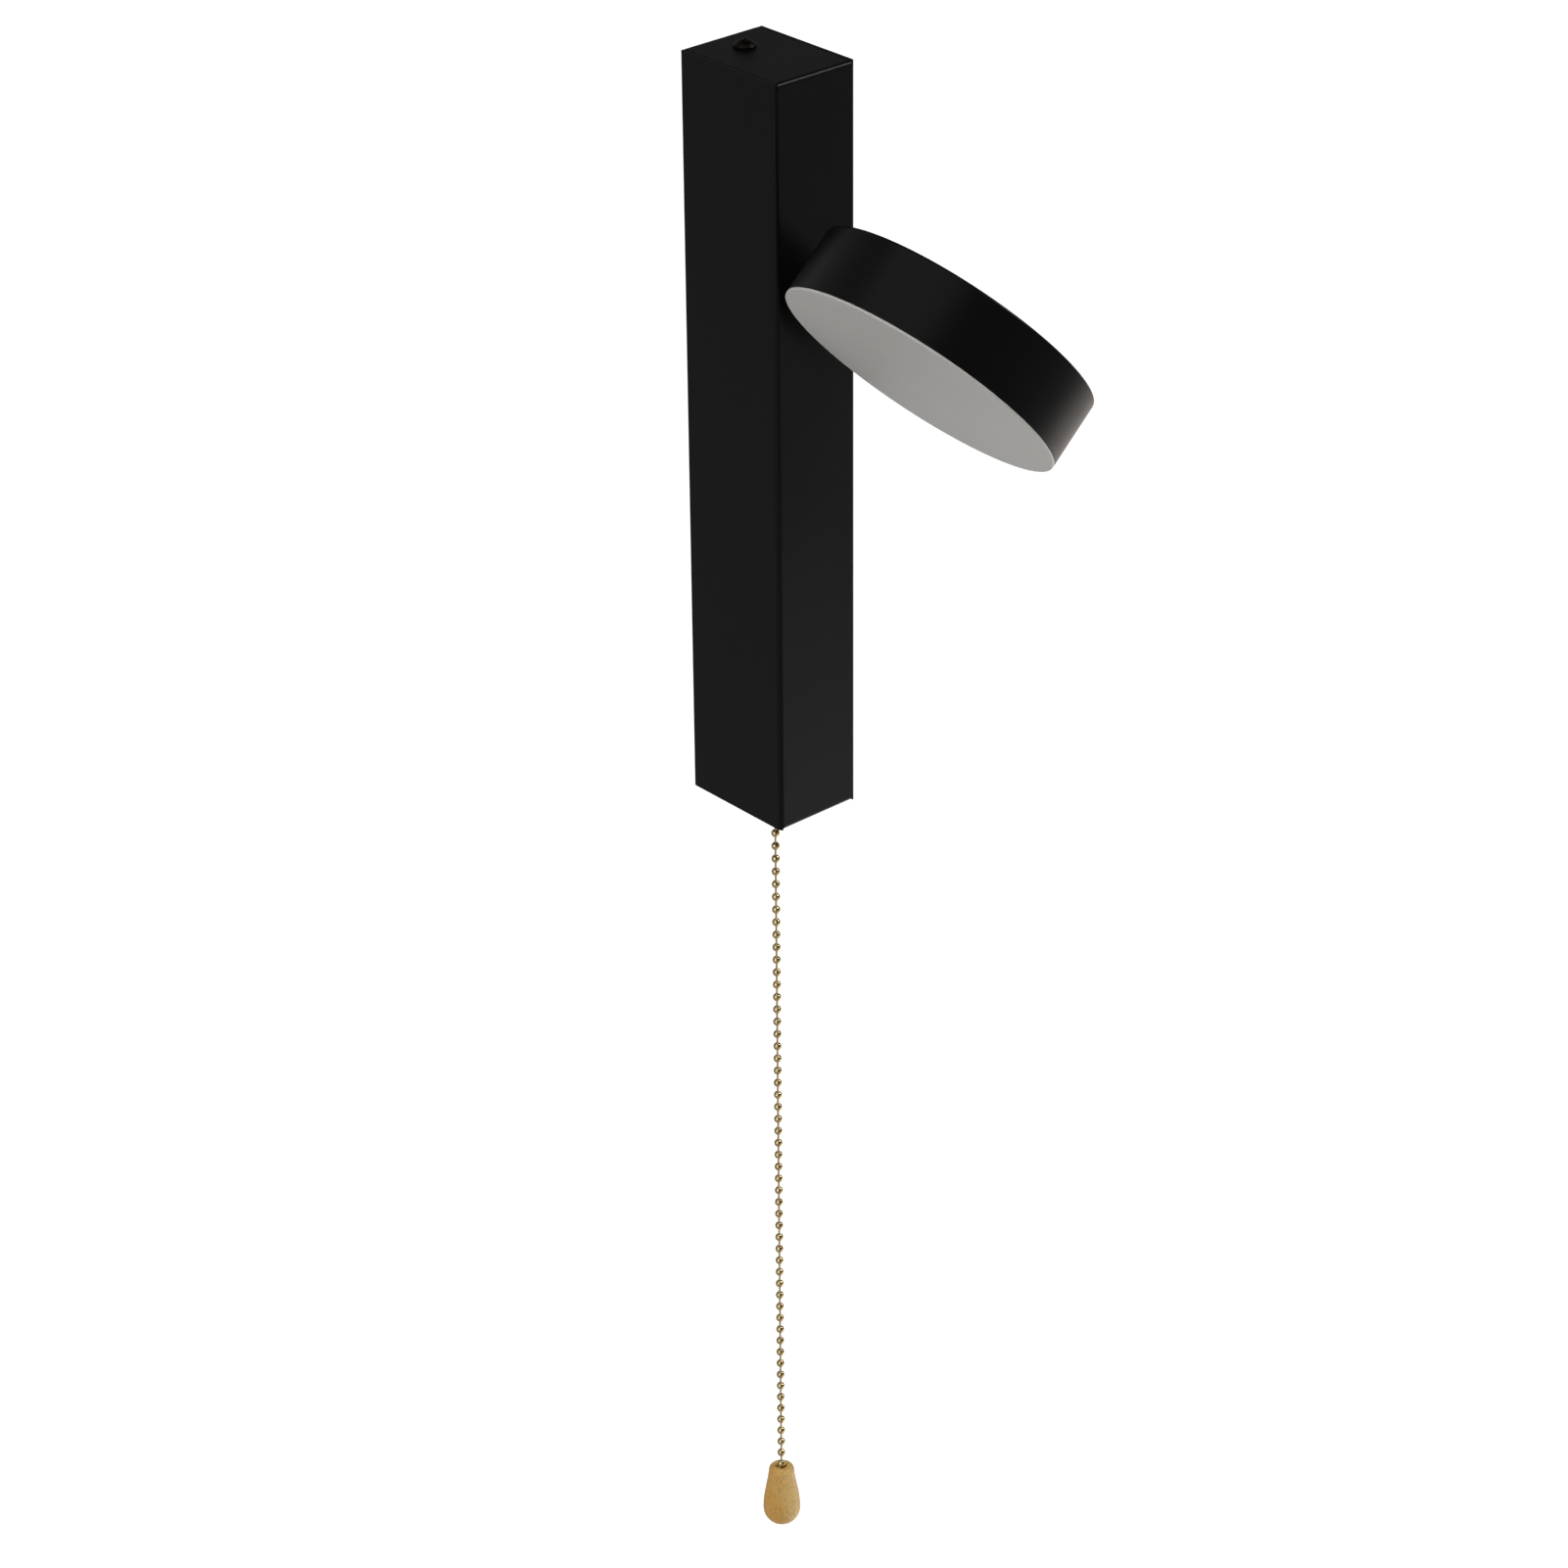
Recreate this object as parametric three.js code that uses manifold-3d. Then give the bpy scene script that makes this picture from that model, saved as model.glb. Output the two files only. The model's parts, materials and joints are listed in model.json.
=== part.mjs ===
// Wall lamp: a tall folded-sheet housing, a disc head that turns on a short hollow neck, and a
// pull-chain switch whose ball chain hangs from the housing's underside with a wooden pull.
// Millimetres. The wall is the plane y = 0 and the room is on its -Y side; +X is to the right
// of someone facing the wall; +Z is up. The origin is the centre of the wall bracket's back.
import * as THREE from 'three';
import { mergeVertices } from 'three/addons/utils/BufferGeometryUtils.js';
import Module from 'manifold-3d';

const wasm = await Module();
wasm.setup();

// ---------------------------------------------------------------- driving dimensions

const GAP = 0.3; // left between two pieces that touch in the real lamp
const PAST = 1; // how far a cutting solid runs past what it cuts
const RUNNING = 0.09; // radial clearance of the rotor on its axle

const HOUSING = {
  width: 36,
  depth: 47,
  height: 280,
  sheet: 1.2,
  sideBend: 1.7, // outer radius of the upright bends
  flapBend: 1.5, // outer radius of the bends to the top and bottom flaps
  seam: 0.35, // slit between a flap and the side wall
  relief: 0.6, // the upright bends are cut back this far past a flap's bend
};

const BRACKET = {
  sheet: 1.5,
  sideClearance: 1.3, // to the inside of the housing
  tabInset: 3.5, // each tab is this much narrower than the strip, per side
  tabEdge: 2.7, // fixing screw to the tab's front edge
  slotFromEnd: 18,
  slotWidth: 4.5,
  slotLength: 10,
  seatBorder: 3.75, // width of the raised seat round a slot
  seatHeight: 0.5,
  cableHole: 9, // radius
};

const GROMMET = { lip: 2, lipThickness: 1.5, wall: 2.4 };

// Radii of a 3 mm screw and its heads; the small head is as high as `smallHeight`.
const SCREW = { m3: 1.5, head: 3.7, headHeight: 2.1, smallHead: 2.8, smallHeight: 1.6, length: 6 };

const HEAD = {
  radius: 52.5,
  thickness: 25.5,
  rimWall: 1.5,
  ledge: 1.0, // step inside the rim that the diffuser rests on
  plate: 2.0, // closed back of the cup
  pad: 2.0, // raised seat of the board
  diffuser: 2.4,
  flange: 0.8, // edge of the diffuser that covers the rim
  boardInset: 8.5, // edge of the board to the outside of the head
  board: 1.6,
  tilt: 47.5, // degrees that the light is turned away from straight down
  pivotDrop: 80, // neck axis below the housing's top
  standOff: 8, // housing's front to the head's rim
};

const NIPPLE = {
  radius: 5,
  bore: 3.5,
  tail: 8, // reach behind the housing's front
  collar: 8, // radius of the collar and the washers
  washer: 1,
  springWasher: 0.8,
  nutFlats: 14,
  nut: 3,
};
const STOP = { radius: 10, pin: 0.8, fingerHalf: 0.8, fingerReach: 11.5, washer: 1.0 };

const CHAIN = { bead: 3.2, hang: 296.9 }; // hang: first bead's centre to the pull's top
const PULL = {
  length: 26.6,
  radius: 7.35, // of the round lower end, and so of the widest place
  neckRadius: 4.5,
  shoulder: 2.2, // height of the rounded top edge
  topRadius: 2.8,
  footRadius: 3,
  recess: 2.2,
};

const NECK = {
  radius: 5,
  boreClearance: 0.8,
  mouthFlare: 1.8,
  drop: 6, // mouth below the housing
  flange: 6.4,
  flangeHeight: 1.2,
  washer: 6.8,
  washerHeight: 0.8,
  nut: 7.2,
  nutHeight: 2.4,
  nutTeeth: 20,
  nutTooth: 0.4,
};
const CASE = { width: 24, depth: 16.5, wall: 1.5, cover: 1.2 };
const MECHANISM = {
  travel: 10, // the slider's stroke
  springLength: 15, // at rest
  springWire: 0.6,
  springTurns: 5,
  slider: 5,
  armHalf: 0.8, // half the width of a rotor arm
  rotorHalf: 1.5, // half the rotor's thickness
  pawl: 1.2,
  pawlReach: 2.2,
  pawlAbove: 1.5, // pawl's underside above the tip of the arm it pushes
  axle: 1,
  axleX: -1.2,
  hub: 2.4,
  boss: 1.8, // carries the contact bar
  contactReach: 6.2,
};

const TERMINAL = {
  pitch: 9,
  height: 16,
  depth: 14,
  channel: 4.6,
  endWall: 2.2,
  peg: 2,
  aboveSwitch: 14,
};
const TAG = { radius: 3.6, thickness: 0.8, barrel: 1.9, barrelLength: 5 };
const DRIVER = {
  sideClearance: 2.8,
  wall: 1.5,
  belowTop: 55,
  wireRoom: 16,
  ear: 8,
  earThickness: 2,
  board: 1.6,
  boardStandOff: 3,
  transformer: 18,
  capacitor: 16,
  partSpacing: 3,
};
const WIRE = 1.2; // radius of a single insulated wire
const LEAD = 1.6; // radius of the two-core lead to the head
const PORT_CLEARANCE = 0.4; // round a wire where it goes through a hole
const PORT_X = 6; // the two mains wires enter the driver this far to each side

// ---------------------------------------------------------------- derived positions

const halfWidth = HOUSING.width / 2;
const halfHeight = HOUSING.height / 2;
const innerHalf = halfWidth - HOUSING.sheet;
const frontY = -HOUSING.depth;
const frontInside = frontY + HOUSING.sheet;
const flapInside = halfHeight - HOUSING.sheet;
const chainY = -HOUSING.depth / 2;

const bracketHalf = innerHalf - BRACKET.sideClearance;
const bracketTop = flapInside - GAP;
const onBracket = -BRACKET.sheet - GAP; // back of what is fixed on the strip
const tabReach = -chainY - CASE.depth / 2 - 0.8; // clear of the switch case
const screwY = -(tabReach - BRACKET.tabEdge);

const pivotZ = halfHeight - HEAD.pivotDrop;
const rimY = frontY - HEAD.standOff;
const headY = rimY - HEAD.radius;
const nippleTailY = frontInside + NIPPLE.tail;

const caseBottom = -flapInside + GAP + NECK.washerHeight + GAP;
const caseFloor = caseBottom + CASE.wall;
const flangeTop = caseFloor + GAP + NECK.flangeHeight;
const springBottom = flangeTop + GAP;
const sliderBottom = springBottom + MECHANISM.springLength + GAP;
const sliderTop = sliderBottom + MECHANISM.slider;
const rotorReach = MECHANISM.travel / Math.SQRT2; // an arm's tip drops one stroke in a quarter turn
const axleZ = sliderTop + 0.7 + Math.hypot(rotorReach, MECHANISM.armHalf);
const pawlBottom = axleZ + rotorReach / Math.SQRT2 + MECHANISM.pawlAbove;
const pawlArmX = MECHANISM.axleX + Math.hypot(rotorReach, MECHANISM.armHalf) + 0.5;
const caseCeiling = pawlBottom + MECHANISM.pawl + 2.5;
const caseTop = caseCeiling + CASE.wall;
const bladeTop = caseTop + 5;
const mouthZ = -halfHeight - NECK.drop;
const neckBore = CHAIN.bead / 2 + NECK.boreClearance;
const firstBeadZ = mouthZ - 0.4;
const pullTop = firstBeadZ - CHAIN.hang;

const terminalBottom = caseTop + TERMINAL.aboveSwitch;
const terminalTop = terminalBottom + TERMINAL.height;
const terminalMidY = onBracket - TERMINAL.depth / 2;
const cableZ = terminalTop + BRACKET.cableHole + 7;
const earthZ = caseTop - 7;
const earthX = 8.5;

const driverHalf = innerHalf - DRIVER.sideClearance;
const driverTop = halfHeight - DRIVER.belowTop;
const driverBottom = cableZ + BRACKET.cableHole + 10 + DRIVER.ear;
const driverFront = nippleTailY + DRIVER.wireRoom;
const lidThickness = DRIVER.wall;
const trayFront = driverFront + lidThickness + GAP;
const boardBack = onBracket - DRIVER.wall - DRIVER.boardStandOff;
const boardFront = boardBack - DRIVER.board;
const partsFront = trayFront + 1.2; // components stop short of the lid
const driverMidZ = (driverTop + driverBottom) / 2;
const wirePortY = (boardFront + trayFront) / 2;

// ---------------------------------------------------------------- materials

function finish(color, roughness, metalness = 0) {
  return new THREE.MeshStandardMaterial({ color, roughness, metalness });
}

const BLACK_COAT = () => finish('#1b1a1a', 0.55, 0.1);
const OPAL = () => finish('#a09b96', 0.5);
const BRASS = () => finish('#c79a3c', 0.25, 1);
const PALE_WOOD = () => finish('#b4945a', 0.6);
const ZINC = () => finish('#a9adb0', 0.4, 0.9);
const STEEL = () => finish('#8d9093', 0.35, 1);
const BLACK_STEEL = () => finish('#1d1d1e', 0.4, 0.8);
const WHITE_PLASTIC = () => finish('#e6e4de', 0.5);
const DARK_PLASTIC = () => finish('#26262a', 0.5);
const CREAM_PLASTIC = () => finish('#d9d2be', 0.5);
const BOARD = () => finish('#1f5a34', 0.5);
const WHITE_BOARD = () => finish('#eeeeea', 0.4);
const RUBBER = () => finish('#202020', 0.9);
const INSULATION = (color) => finish(color, 0.5);

// ---------------------------------------------------------------- solids

/** A closed mesh geometry as a manifold solid, its shared vertices merged and its faces outward. */
function solid(geometry) {
  const bare = new THREE.BufferGeometry();
  bare.setAttribute('position', geometry.getAttribute('position').clone());
  if (geometry.index) bare.setIndex(geometry.index.clone());
  const merged = mergeVertices(bare, 1e-4);
  const position = merged.getAttribute('position');
  const index = merged.index.array;
  const corners = [new THREE.Vector3(), new THREE.Vector3(), new THREE.Vector3()];
  const triangles = [];
  let volume = 0;
  for (let i = 0; i < index.length; i += 3) {
    const [a, b, c] = [index[i], index[i + 1], index[i + 2]];
    if (a === b || b === c || c === a) continue;
    triangles.push(a, b, c);
    [a, b, c].forEach((vertex, k) => corners[k].fromBufferAttribute(position, vertex));
    volume += corners[0].dot(corners[1].cross(corners[2]));
  }
  if (volume < 0) triangles.reverse();
  const mesh = new wasm.Mesh({
    numProp: 3,
    vertProperties: new Float32Array(position.array),
    triVerts: new Uint32Array(triangles),
  });
  return new wasm.Manifold(mesh);
}

const join = (first, ...rest) => rest.reduce((sum, part) => sum.add(part), first);
const cut = (first, ...rest) => rest.reduce((left, part) => left.subtract(part), first);

/** A box between two corners. */
function boxGeometry(x0, x1, y0, y1, z0, z1) {
  const geometry = new THREE.BoxGeometry(x1 - x0, y1 - y0, z1 - z0);
  return geometry.translate((x0 + x1) / 2, (y0 + y1) / 2, (z0 + z1) / 2);
}

const box = (...ranges) => solid(boxGeometry(...ranges));

// Each basis sends a shape's own x, y and its extrusion direction to row axes.
const ALONG_X = new THREE.Matrix4().makeBasis(
  new THREE.Vector3(0, 1, 0),
  new THREE.Vector3(0, 0, 1),
  new THREE.Vector3(1, 0, 0),
);
const ALONG_Y = new THREE.Matrix4().makeBasis(
  new THREE.Vector3(-1, 0, 0),
  new THREE.Vector3(0, 0, 1),
  new THREE.Vector3(0, 1, 0),
);
const ALONG_Z = new THREE.Matrix4();
const BASES = { x: ALONG_X, y: ALONG_Y, z: ALONG_Z };

/** A shape extruded from `from` to `to` along a row axis. */
function prism(shape, axis, from, to, curveSegments = 8) {
  const options = { depth: to - from, bevelEnabled: false, curveSegments };
  const geometry = new THREE.ExtrudeGeometry(shape, options);
  geometry.translate(0, 0, from);
  return solid(geometry.applyMatrix4(BASES[axis]));
}

/** A cylinder along a row axis, from `from` to `to`, whose centre line passes through (x, y, z). */
function rod(axis, radius, from, to, [x, y, z] = [0, 0, 0], sides = 16) {
  const geometry = new THREE.CylinderGeometry(radius, radius, to - from, sides);
  geometry.translate(0, (from + to) / 2, 0);
  if (axis === 'x') geometry.rotateZ(-Math.PI / 2);
  if (axis === 'z') geometry.rotateX(Math.PI / 2);
  return solid(geometry.translate(x, y, z));
}

/** A profile of [radius, height] points turned about the Z axis. */
function turned(points, sides = 16) {
  const profile = points.map(([radius, height]) => new THREE.Vector2(radius, height));
  return solid(new THREE.LatheGeometry(profile, sides).rotateX(Math.PI / 2));
}

/** A ring about a row axis: the space between two radii. */
function ring(axis, outer, inner, from, to, centre, sides = 20) {
  const hole = rod(axis, inner, from - PAST, to + PAST, centre, sides);
  return rod(axis, outer, from, to, centre, sides).subtract(hole);
}

/** A round tube along a smooth curve through the given points. */
function tube(points, radius, steps, sides = 8) {
  const knots = points.map((point) => new THREE.Vector3(...point));
  const path = new THREE.CatmullRomCurve3(knots, false, 'centripetal');
  const section = new THREE.Shape();
  for (let i = 0; i < sides; i += 1) {
    const angle = (2 * Math.PI * i) / sides;
    const corner = [radius * Math.cos(angle), radius * Math.sin(angle)];
    if (i === 0) section.moveTo(...corner);
    else section.lineTo(...corner);
  }
  return solid(new THREE.ExtrudeGeometry(section, { steps, extrudePath: path, bevelEnabled: false }));
}

const lamp = new THREE.Group();

/** Adds a solid to a group as a mesh named after its node. */
function add(name, part, material, group = lamp) {
  const { vertProperties, triVerts } = part.getMesh();
  const geometry = new THREE.BufferGeometry();
  geometry.setAttribute('position', new THREE.BufferAttribute(new Float32Array(vertProperties), 3));
  geometry.setIndex(new THREE.BufferAttribute(new Uint32Array(triVerts), 1));
  geometry.computeVertexNormals();
  const mesh = new THREE.Mesh(geometry, material);
  mesh.name = name;
  group.add(mesh);
  return mesh;
}

/** A domed cross-head screw along Z: the head stands on z = 0 and the shank hangs below it. */
function screw(shank, head, headHeight, length) {
  const dome = [
    [0, 0],
    [head, 0],
    [head, headHeight * 0.4],
    [head * 0.6, headHeight],
    [0, headHeight],
  ];
  const recess = head * 0.45;
  const slot = head * 0.12;
  return cut(
    join(turned(dome, 14), rod('z', shank, -length, 0.1, [0, 0, 0], 8)),
    box(-recess, recess, -slot, slot, headHeight * 0.5, headHeight + PAST),
    box(-slot, slot, -recess, recess, headHeight * 0.5, headHeight + PAST),
  );
}

/** Places a mesh whose own +Z is to point along the given row direction. */
function aim(mesh, position, direction) {
  mesh.position.set(...position);
  mesh.quaternion.setFromUnitVectors(new THREE.Vector3(0, 0, 1), new THREE.Vector3(...direction));
}

// ---------------------------------------------------------------- housing

/** The housing's plan: two side walls and the front, with rounded upright bends. */
function housingPlan() {
  const bend = HOUSING.sideBend;
  const inner = bend - HOUSING.sheet;
  const x = halfWidth - bend;
  const y = frontY + bend;
  const plan = new THREE.Shape();
  plan.moveTo(-halfWidth, 0);
  plan.lineTo(-halfWidth, y);
  plan.absarc(-x, y, bend, Math.PI, 1.5 * Math.PI, false);
  plan.absarc(x, y, bend, 1.5 * Math.PI, 2 * Math.PI, false);
  plan.lineTo(halfWidth, 0);
  plan.lineTo(innerHalf, 0);
  plan.absarc(x, y, inner, 0, -0.5 * Math.PI, true);
  plan.absarc(-x, y, inner, 1.5 * Math.PI, Math.PI, true);
  plan.lineTo(-innerHalf, 0);
  plan.closePath();
  return plan;
}

/** The top flap in the YZ plane: a short leg of the front, the bend, and the flap back to the wall. */
function flapSection(legBottom) {
  const bend = HOUSING.flapBend;
  const y = frontY + bend;
  const z = halfHeight - bend;
  const section = new THREE.Shape();
  section.moveTo(frontY, legBottom);
  section.lineTo(frontY, z);
  section.absarc(y, z, bend, Math.PI, 0.5 * Math.PI, true);
  section.lineTo(0, halfHeight);
  section.lineTo(0, flapInside);
  section.absarc(y, z, bend - HOUSING.sheet, 0.5 * Math.PI, Math.PI, false);
  section.lineTo(frontInside, legBottom);
  section.closePath();
  return section;
}

function housingShell() {
  const notch = halfHeight - HOUSING.flapBend - HOUSING.relief;
  const flapHalf = innerHalf - HOUSING.seam;
  const front = [frontY - PAST, frontY + HOUSING.sideBend + 1];
  const walls = cut(
    prism(housingPlan(), 'z', -halfHeight, halfHeight, 6),
    box(-innerHalf, innerHalf, ...front, notch, halfHeight + PAST),
    box(-innerHalf, innerHalf, ...front, -halfHeight - PAST, -notch),
  );
  const flap = (halfTurn) => {
    const options = { depth: 2 * flapHalf, bevelEnabled: false, curveSegments: 6 };
    const geometry = new THREE.ExtrudeGeometry(flapSection(notch - 0.5), options);
    geometry.translate(0, 0, -flapHalf);
    return solid(geometry.applyMatrix4(ALONG_X).rotateY(halfTurn ? Math.PI : 0));
  };
  const screwHole = SCREW.m3 + GAP;
  return cut(
    join(walls, flap(false), flap(true)),
    rod('z', screwHole, -halfHeight - PAST, halfHeight + PAST, [0, screwY, 0]),
    rod('z', NECK.radius + GAP, -halfHeight - PAST, -flapInside + PAST, [0, chainY, 0]),
    rod('y', NIPPLE.radius + GAP, frontY - PAST, frontInside + PAST, [0, 0, pivotZ]),
  );
}

function addHousing() {
  add('housing_shell', housingShell(), BLACK_COAT());
  for (const [name, side] of [['top_fixing_screw', 1], ['bottom_fixing_screw', -1]]) {
    const part = screw(SCREW.m3, SCREW.head, SCREW.headHeight, SCREW.length);
    const mesh = add(name, part, BLACK_STEEL());
    aim(mesh, [0, screwY, side * (halfHeight + GAP)], [0, 0, side]);
  }
}

// ---------------------------------------------------------------- wall bracket

/** A bar with round ends, as long as a slot or its seat, along X or Z at a height on the strip. */
function slotBar(z, upright, border, y0, y1, sides) {
  const radius = BRACKET.slotWidth / 2 + border;
  const reach = (BRACKET.slotLength - BRACKET.slotWidth) / 2;
  const [dx, dz] = upright ? [0, reach] : [reach, 0];
  const ends = [-1, 1].map((side) => rod('y', radius, y0, y1, [side * dx, 0, z + side * dz], sides));
  const middle = upright
    ? box(-radius, radius, y0, y1, z - reach, z + reach)
    : box(-reach, reach, y0, y1, z - radius, z + radius);
  return join(middle, ...ends);
}

// Height and direction of the two slots for the wall screws.
const SLOTS = [
  { z: halfHeight - BRACKET.slotFromEnd, upright: true },
  { z: -halfHeight + BRACKET.slotFromEnd, upright: false },
];

const DRIVER_SCREWS_Z = [driverBottom - DRIVER.ear / 2, driverTop + DRIVER.ear / 2];
const TERMINAL_PEG = [0, 0, (terminalBottom + terminalTop) / 2];

function wallBracket() {
  const front = -BRACKET.sheet;
  const seatFront = front - BRACKET.seatHeight;
  const tabHalf = bracketHalf - BRACKET.tabInset;
  const through = (radius, x, z, sides = 10) => rod('y', radius, front - PAST, PAST, [x, 0, z], sides);
  return cut(
    join(
      box(-bracketHalf, bracketHalf, front, 0, -bracketTop, bracketTop),
      ...SLOTS.map(({ z, upright }) => slotBar(z, upright, BRACKET.seatBorder, seatFront, front + 0.5, 16)),
      box(-tabHalf, tabHalf, -tabReach, 0, bracketTop - BRACKET.sheet, bracketTop),
      box(-tabHalf, tabHalf, -tabReach, 0, -bracketTop, -bracketTop + BRACKET.sheet),
    ),
    rod('z', SCREW.m3 + GAP, -bracketTop - PAST, bracketTop + PAST, [0, screwY, 0], 10),
    ...SLOTS.map(({ z, upright }) => slotBar(z, upright, 0, seatFront - PAST, PAST, 12)),
    through(BRACKET.cableHole, 0, cableZ, 20),
    through(SCREW.m3 + GAP, 0, DRIVER_SCREWS_Z[0]),
    through(SCREW.m3 + GAP, 0, DRIVER_SCREWS_Z[1]),
    through(TERMINAL.peg + GAP, TERMINAL_PEG[0], TERMINAL_PEG[2]),
    through(SCREW.m3 + GAP, earthX, earthZ),
  );
}

function cableGrommet() {
  const outer = BRACKET.cableHole - GAP;
  const lip = BRACKET.cableHole + GROMMET.lip;
  const front = onBracket - GROMMET.lipThickness;
  return cut(
    join(
      rod('y', outer, front, -GAP, [0, 0, cableZ], 20),
      rod('y', lip, front, onBracket, [0, 0, cableZ], 20),
    ),
    rod('y', outer - GROMMET.wall, front - PAST, PAST, [0, 0, cableZ], 20),
  );
}

function addBracket() {
  add('wall_bracket', wallBracket(), ZINC());
  add('cable_grommet', cableGrommet(), RUBBER());
}

// ---------------------------------------------------------------- mains terminals and earth

const POLES = ['line', 'neutral', 'earth'];
const poleX = (i) => (i - 1) * TERMINAL.pitch;
const terminalMidZ = (terminalBottom + terminalTop) / 2;
const terminalFront = onBracket - TERMINAL.depth;
const sleeveHalf = TERMINAL.channel / 2 - GAP; // the sleeve is this wide to each side
const sleeveFront = terminalMidY - sleeveHalf - 0.5;
const clampHead = sleeveHalf - 0.1;
const clampShank = clampHead * 0.6;
const CLAMP_Z = [1, -1].map((side) => terminalMidZ + side * TERMINAL.height / 4);

function terminalBody() {
  const half = TERMINAL.pitch + TERMINAL.channel / 2 + TERMINAL.endWall;
  const channel = TERMINAL.channel / 2;
  const deep = [sleeveFront - GAP, 2 * terminalMidY - sleeveFront + GAP];
  let body = box(-half, half, terminalFront, onBracket, terminalBottom, terminalTop);
  for (let i = 0; i < POLES.length; i += 1) {
    const x = poleX(i);
    body = body.subtract(
      box(x - channel, x + channel, ...deep, terminalBottom - PAST, terminalTop + PAST),
    );
    for (const z of CLAMP_Z) {
      const hole = rod('y', clampHead + GAP, terminalFront - PAST, terminalMidY, [x, 0, z], 10);
      body = body.subtract(hole);
    }
  }
  return body.add(rod('y', TERMINAL.peg, onBracket - 1, -GAP, TERMINAL_PEG, 10));
}

function terminalSleeve(x) {
  const bore = WIRE + PORT_CLEARANCE;
  const deep = [sleeveFront, 2 * terminalMidY - sleeveFront];
  let sleeve = cut(
    box(x - sleeveHalf, x + sleeveHalf, ...deep, terminalBottom + 1, terminalTop - 1),
    rod('z', bore, terminalBottom, terminalTop, [x, terminalMidY, 0], 8),
  );
  for (const z of CLAMP_Z) {
    const thread = rod('y', clampShank + GAP / 2, sleeveFront - PAST, terminalMidY, [x, 0, z], 8);
    sleeve = sleeve.subtract(thread);
  }
  return sleeve;
}

/** A clamp screw: a slotted cylinder head with a thinner shank behind it, pointing to the wall. */
function clampScrew(x, z) {
  const head = clampHead;
  const headBack = sleeveFront - GAP;
  const headFront = terminalFront + 0.8;
  const tip = terminalMidY - WIRE - GAP;
  const slot = { half: 0.3, depth: 0.8 };
  return cut(
    join(
      rod('y', head, headFront, headBack, [x, 0, z], 8),
      rod('y', clampShank, headBack - 0.1, tip, [x, 0, z], 8),
    ),
    box(
      x - head - PAST,
      x + head + PAST,
      headFront - PAST,
      headFront + slot.depth,
      z - slot.half,
      z + slot.half,
    ),
  );
}

function addTerminals() {
  add('terminal_body', terminalBody(), CREAM_PLASTIC());
  POLES.forEach((pole, i) => {
    add(`terminal_sleeve_${pole}`, terminalSleeve(poleX(i)), BRASS());
    add(`clamp_screw_${pole}_mains`, clampScrew(poleX(i), CLAMP_Z[0]), STEEL());
    add(`clamp_screw_${pole}_inner`, clampScrew(poleX(i), CLAMP_Z[1]), STEEL());
  });
}

const tagBarrelY = onBracket - TAG.barrel;
const tagBarrelBottom = earthZ + TAG.radius - 0.6;
const tagBarrelTop = tagBarrelBottom + TAG.barrelLength;

function earthTag() {
  const front = onBracket - TAG.thickness;
  const barrelAxis = [earthX, tagBarrelY, 0];
  return cut(
    join(
      rod('y', TAG.radius, front, onBracket, [earthX, 0, earthZ], 14),
      rod('z', TAG.barrel, tagBarrelBottom, tagBarrelTop, barrelAxis, 10),
    ),
    rod('y', SCREW.m3 + GAP, front - PAST, onBracket + PAST, [earthX, 0, earthZ], 10),
    rod('z', WIRE + GAP, tagBarrelBottom + 1.5, tagBarrelTop + PAST, barrelAxis, 8),
  );
}

function addEarth() {
  add('earth_tag', earthTag(), BRASS());
  const length = TAG.thickness + BRACKET.sheet + GAP;
  const part = screw(SCREW.m3, SCREW.smallHead, SCREW.smallHeight, length);
  aim(add('earth_screw', part, STEEL()), [earthX, onBracket - TAG.thickness - GAP, earthZ], [0, -1, 0]);
}

// ---------------------------------------------------------------- LED driver

function driverCase() {
  const wall = DRIVER.wall;
  const earFront = onBracket - DRIVER.earThickness;
  const earHalf = driverHalf / 2;
  const port = (x, wire, z) =>
    rod('z', wire + PORT_CLEARANCE, z - wall, z + wall, [x, wirePortY, 0], 10);
  const earHole = (z) => rod('y', SCREW.m3 + GAP, earFront - PAST, 0, [0, 0, z], 10);
  return cut(
    join(
      box(-driverHalf, driverHalf, trayFront, onBracket, driverBottom, driverTop),
      box(-earHalf, earHalf, earFront, onBracket, driverBottom - DRIVER.ear, driverTop + DRIVER.ear),
    ),
    box(
      -driverHalf + wall,
      driverHalf - wall,
      trayFront - PAST,
      onBracket - wall,
      driverBottom + wall,
      driverTop - wall,
    ),
    port(-PORT_X, WIRE, driverBottom + wall / 2),
    port(PORT_X, WIRE, driverBottom + wall / 2),
    port(0, LEAD, driverTop - wall / 2),
    earHole(DRIVER_SCREWS_Z[0]),
    earHole(DRIVER_SCREWS_Z[1]),
  );
}

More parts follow.
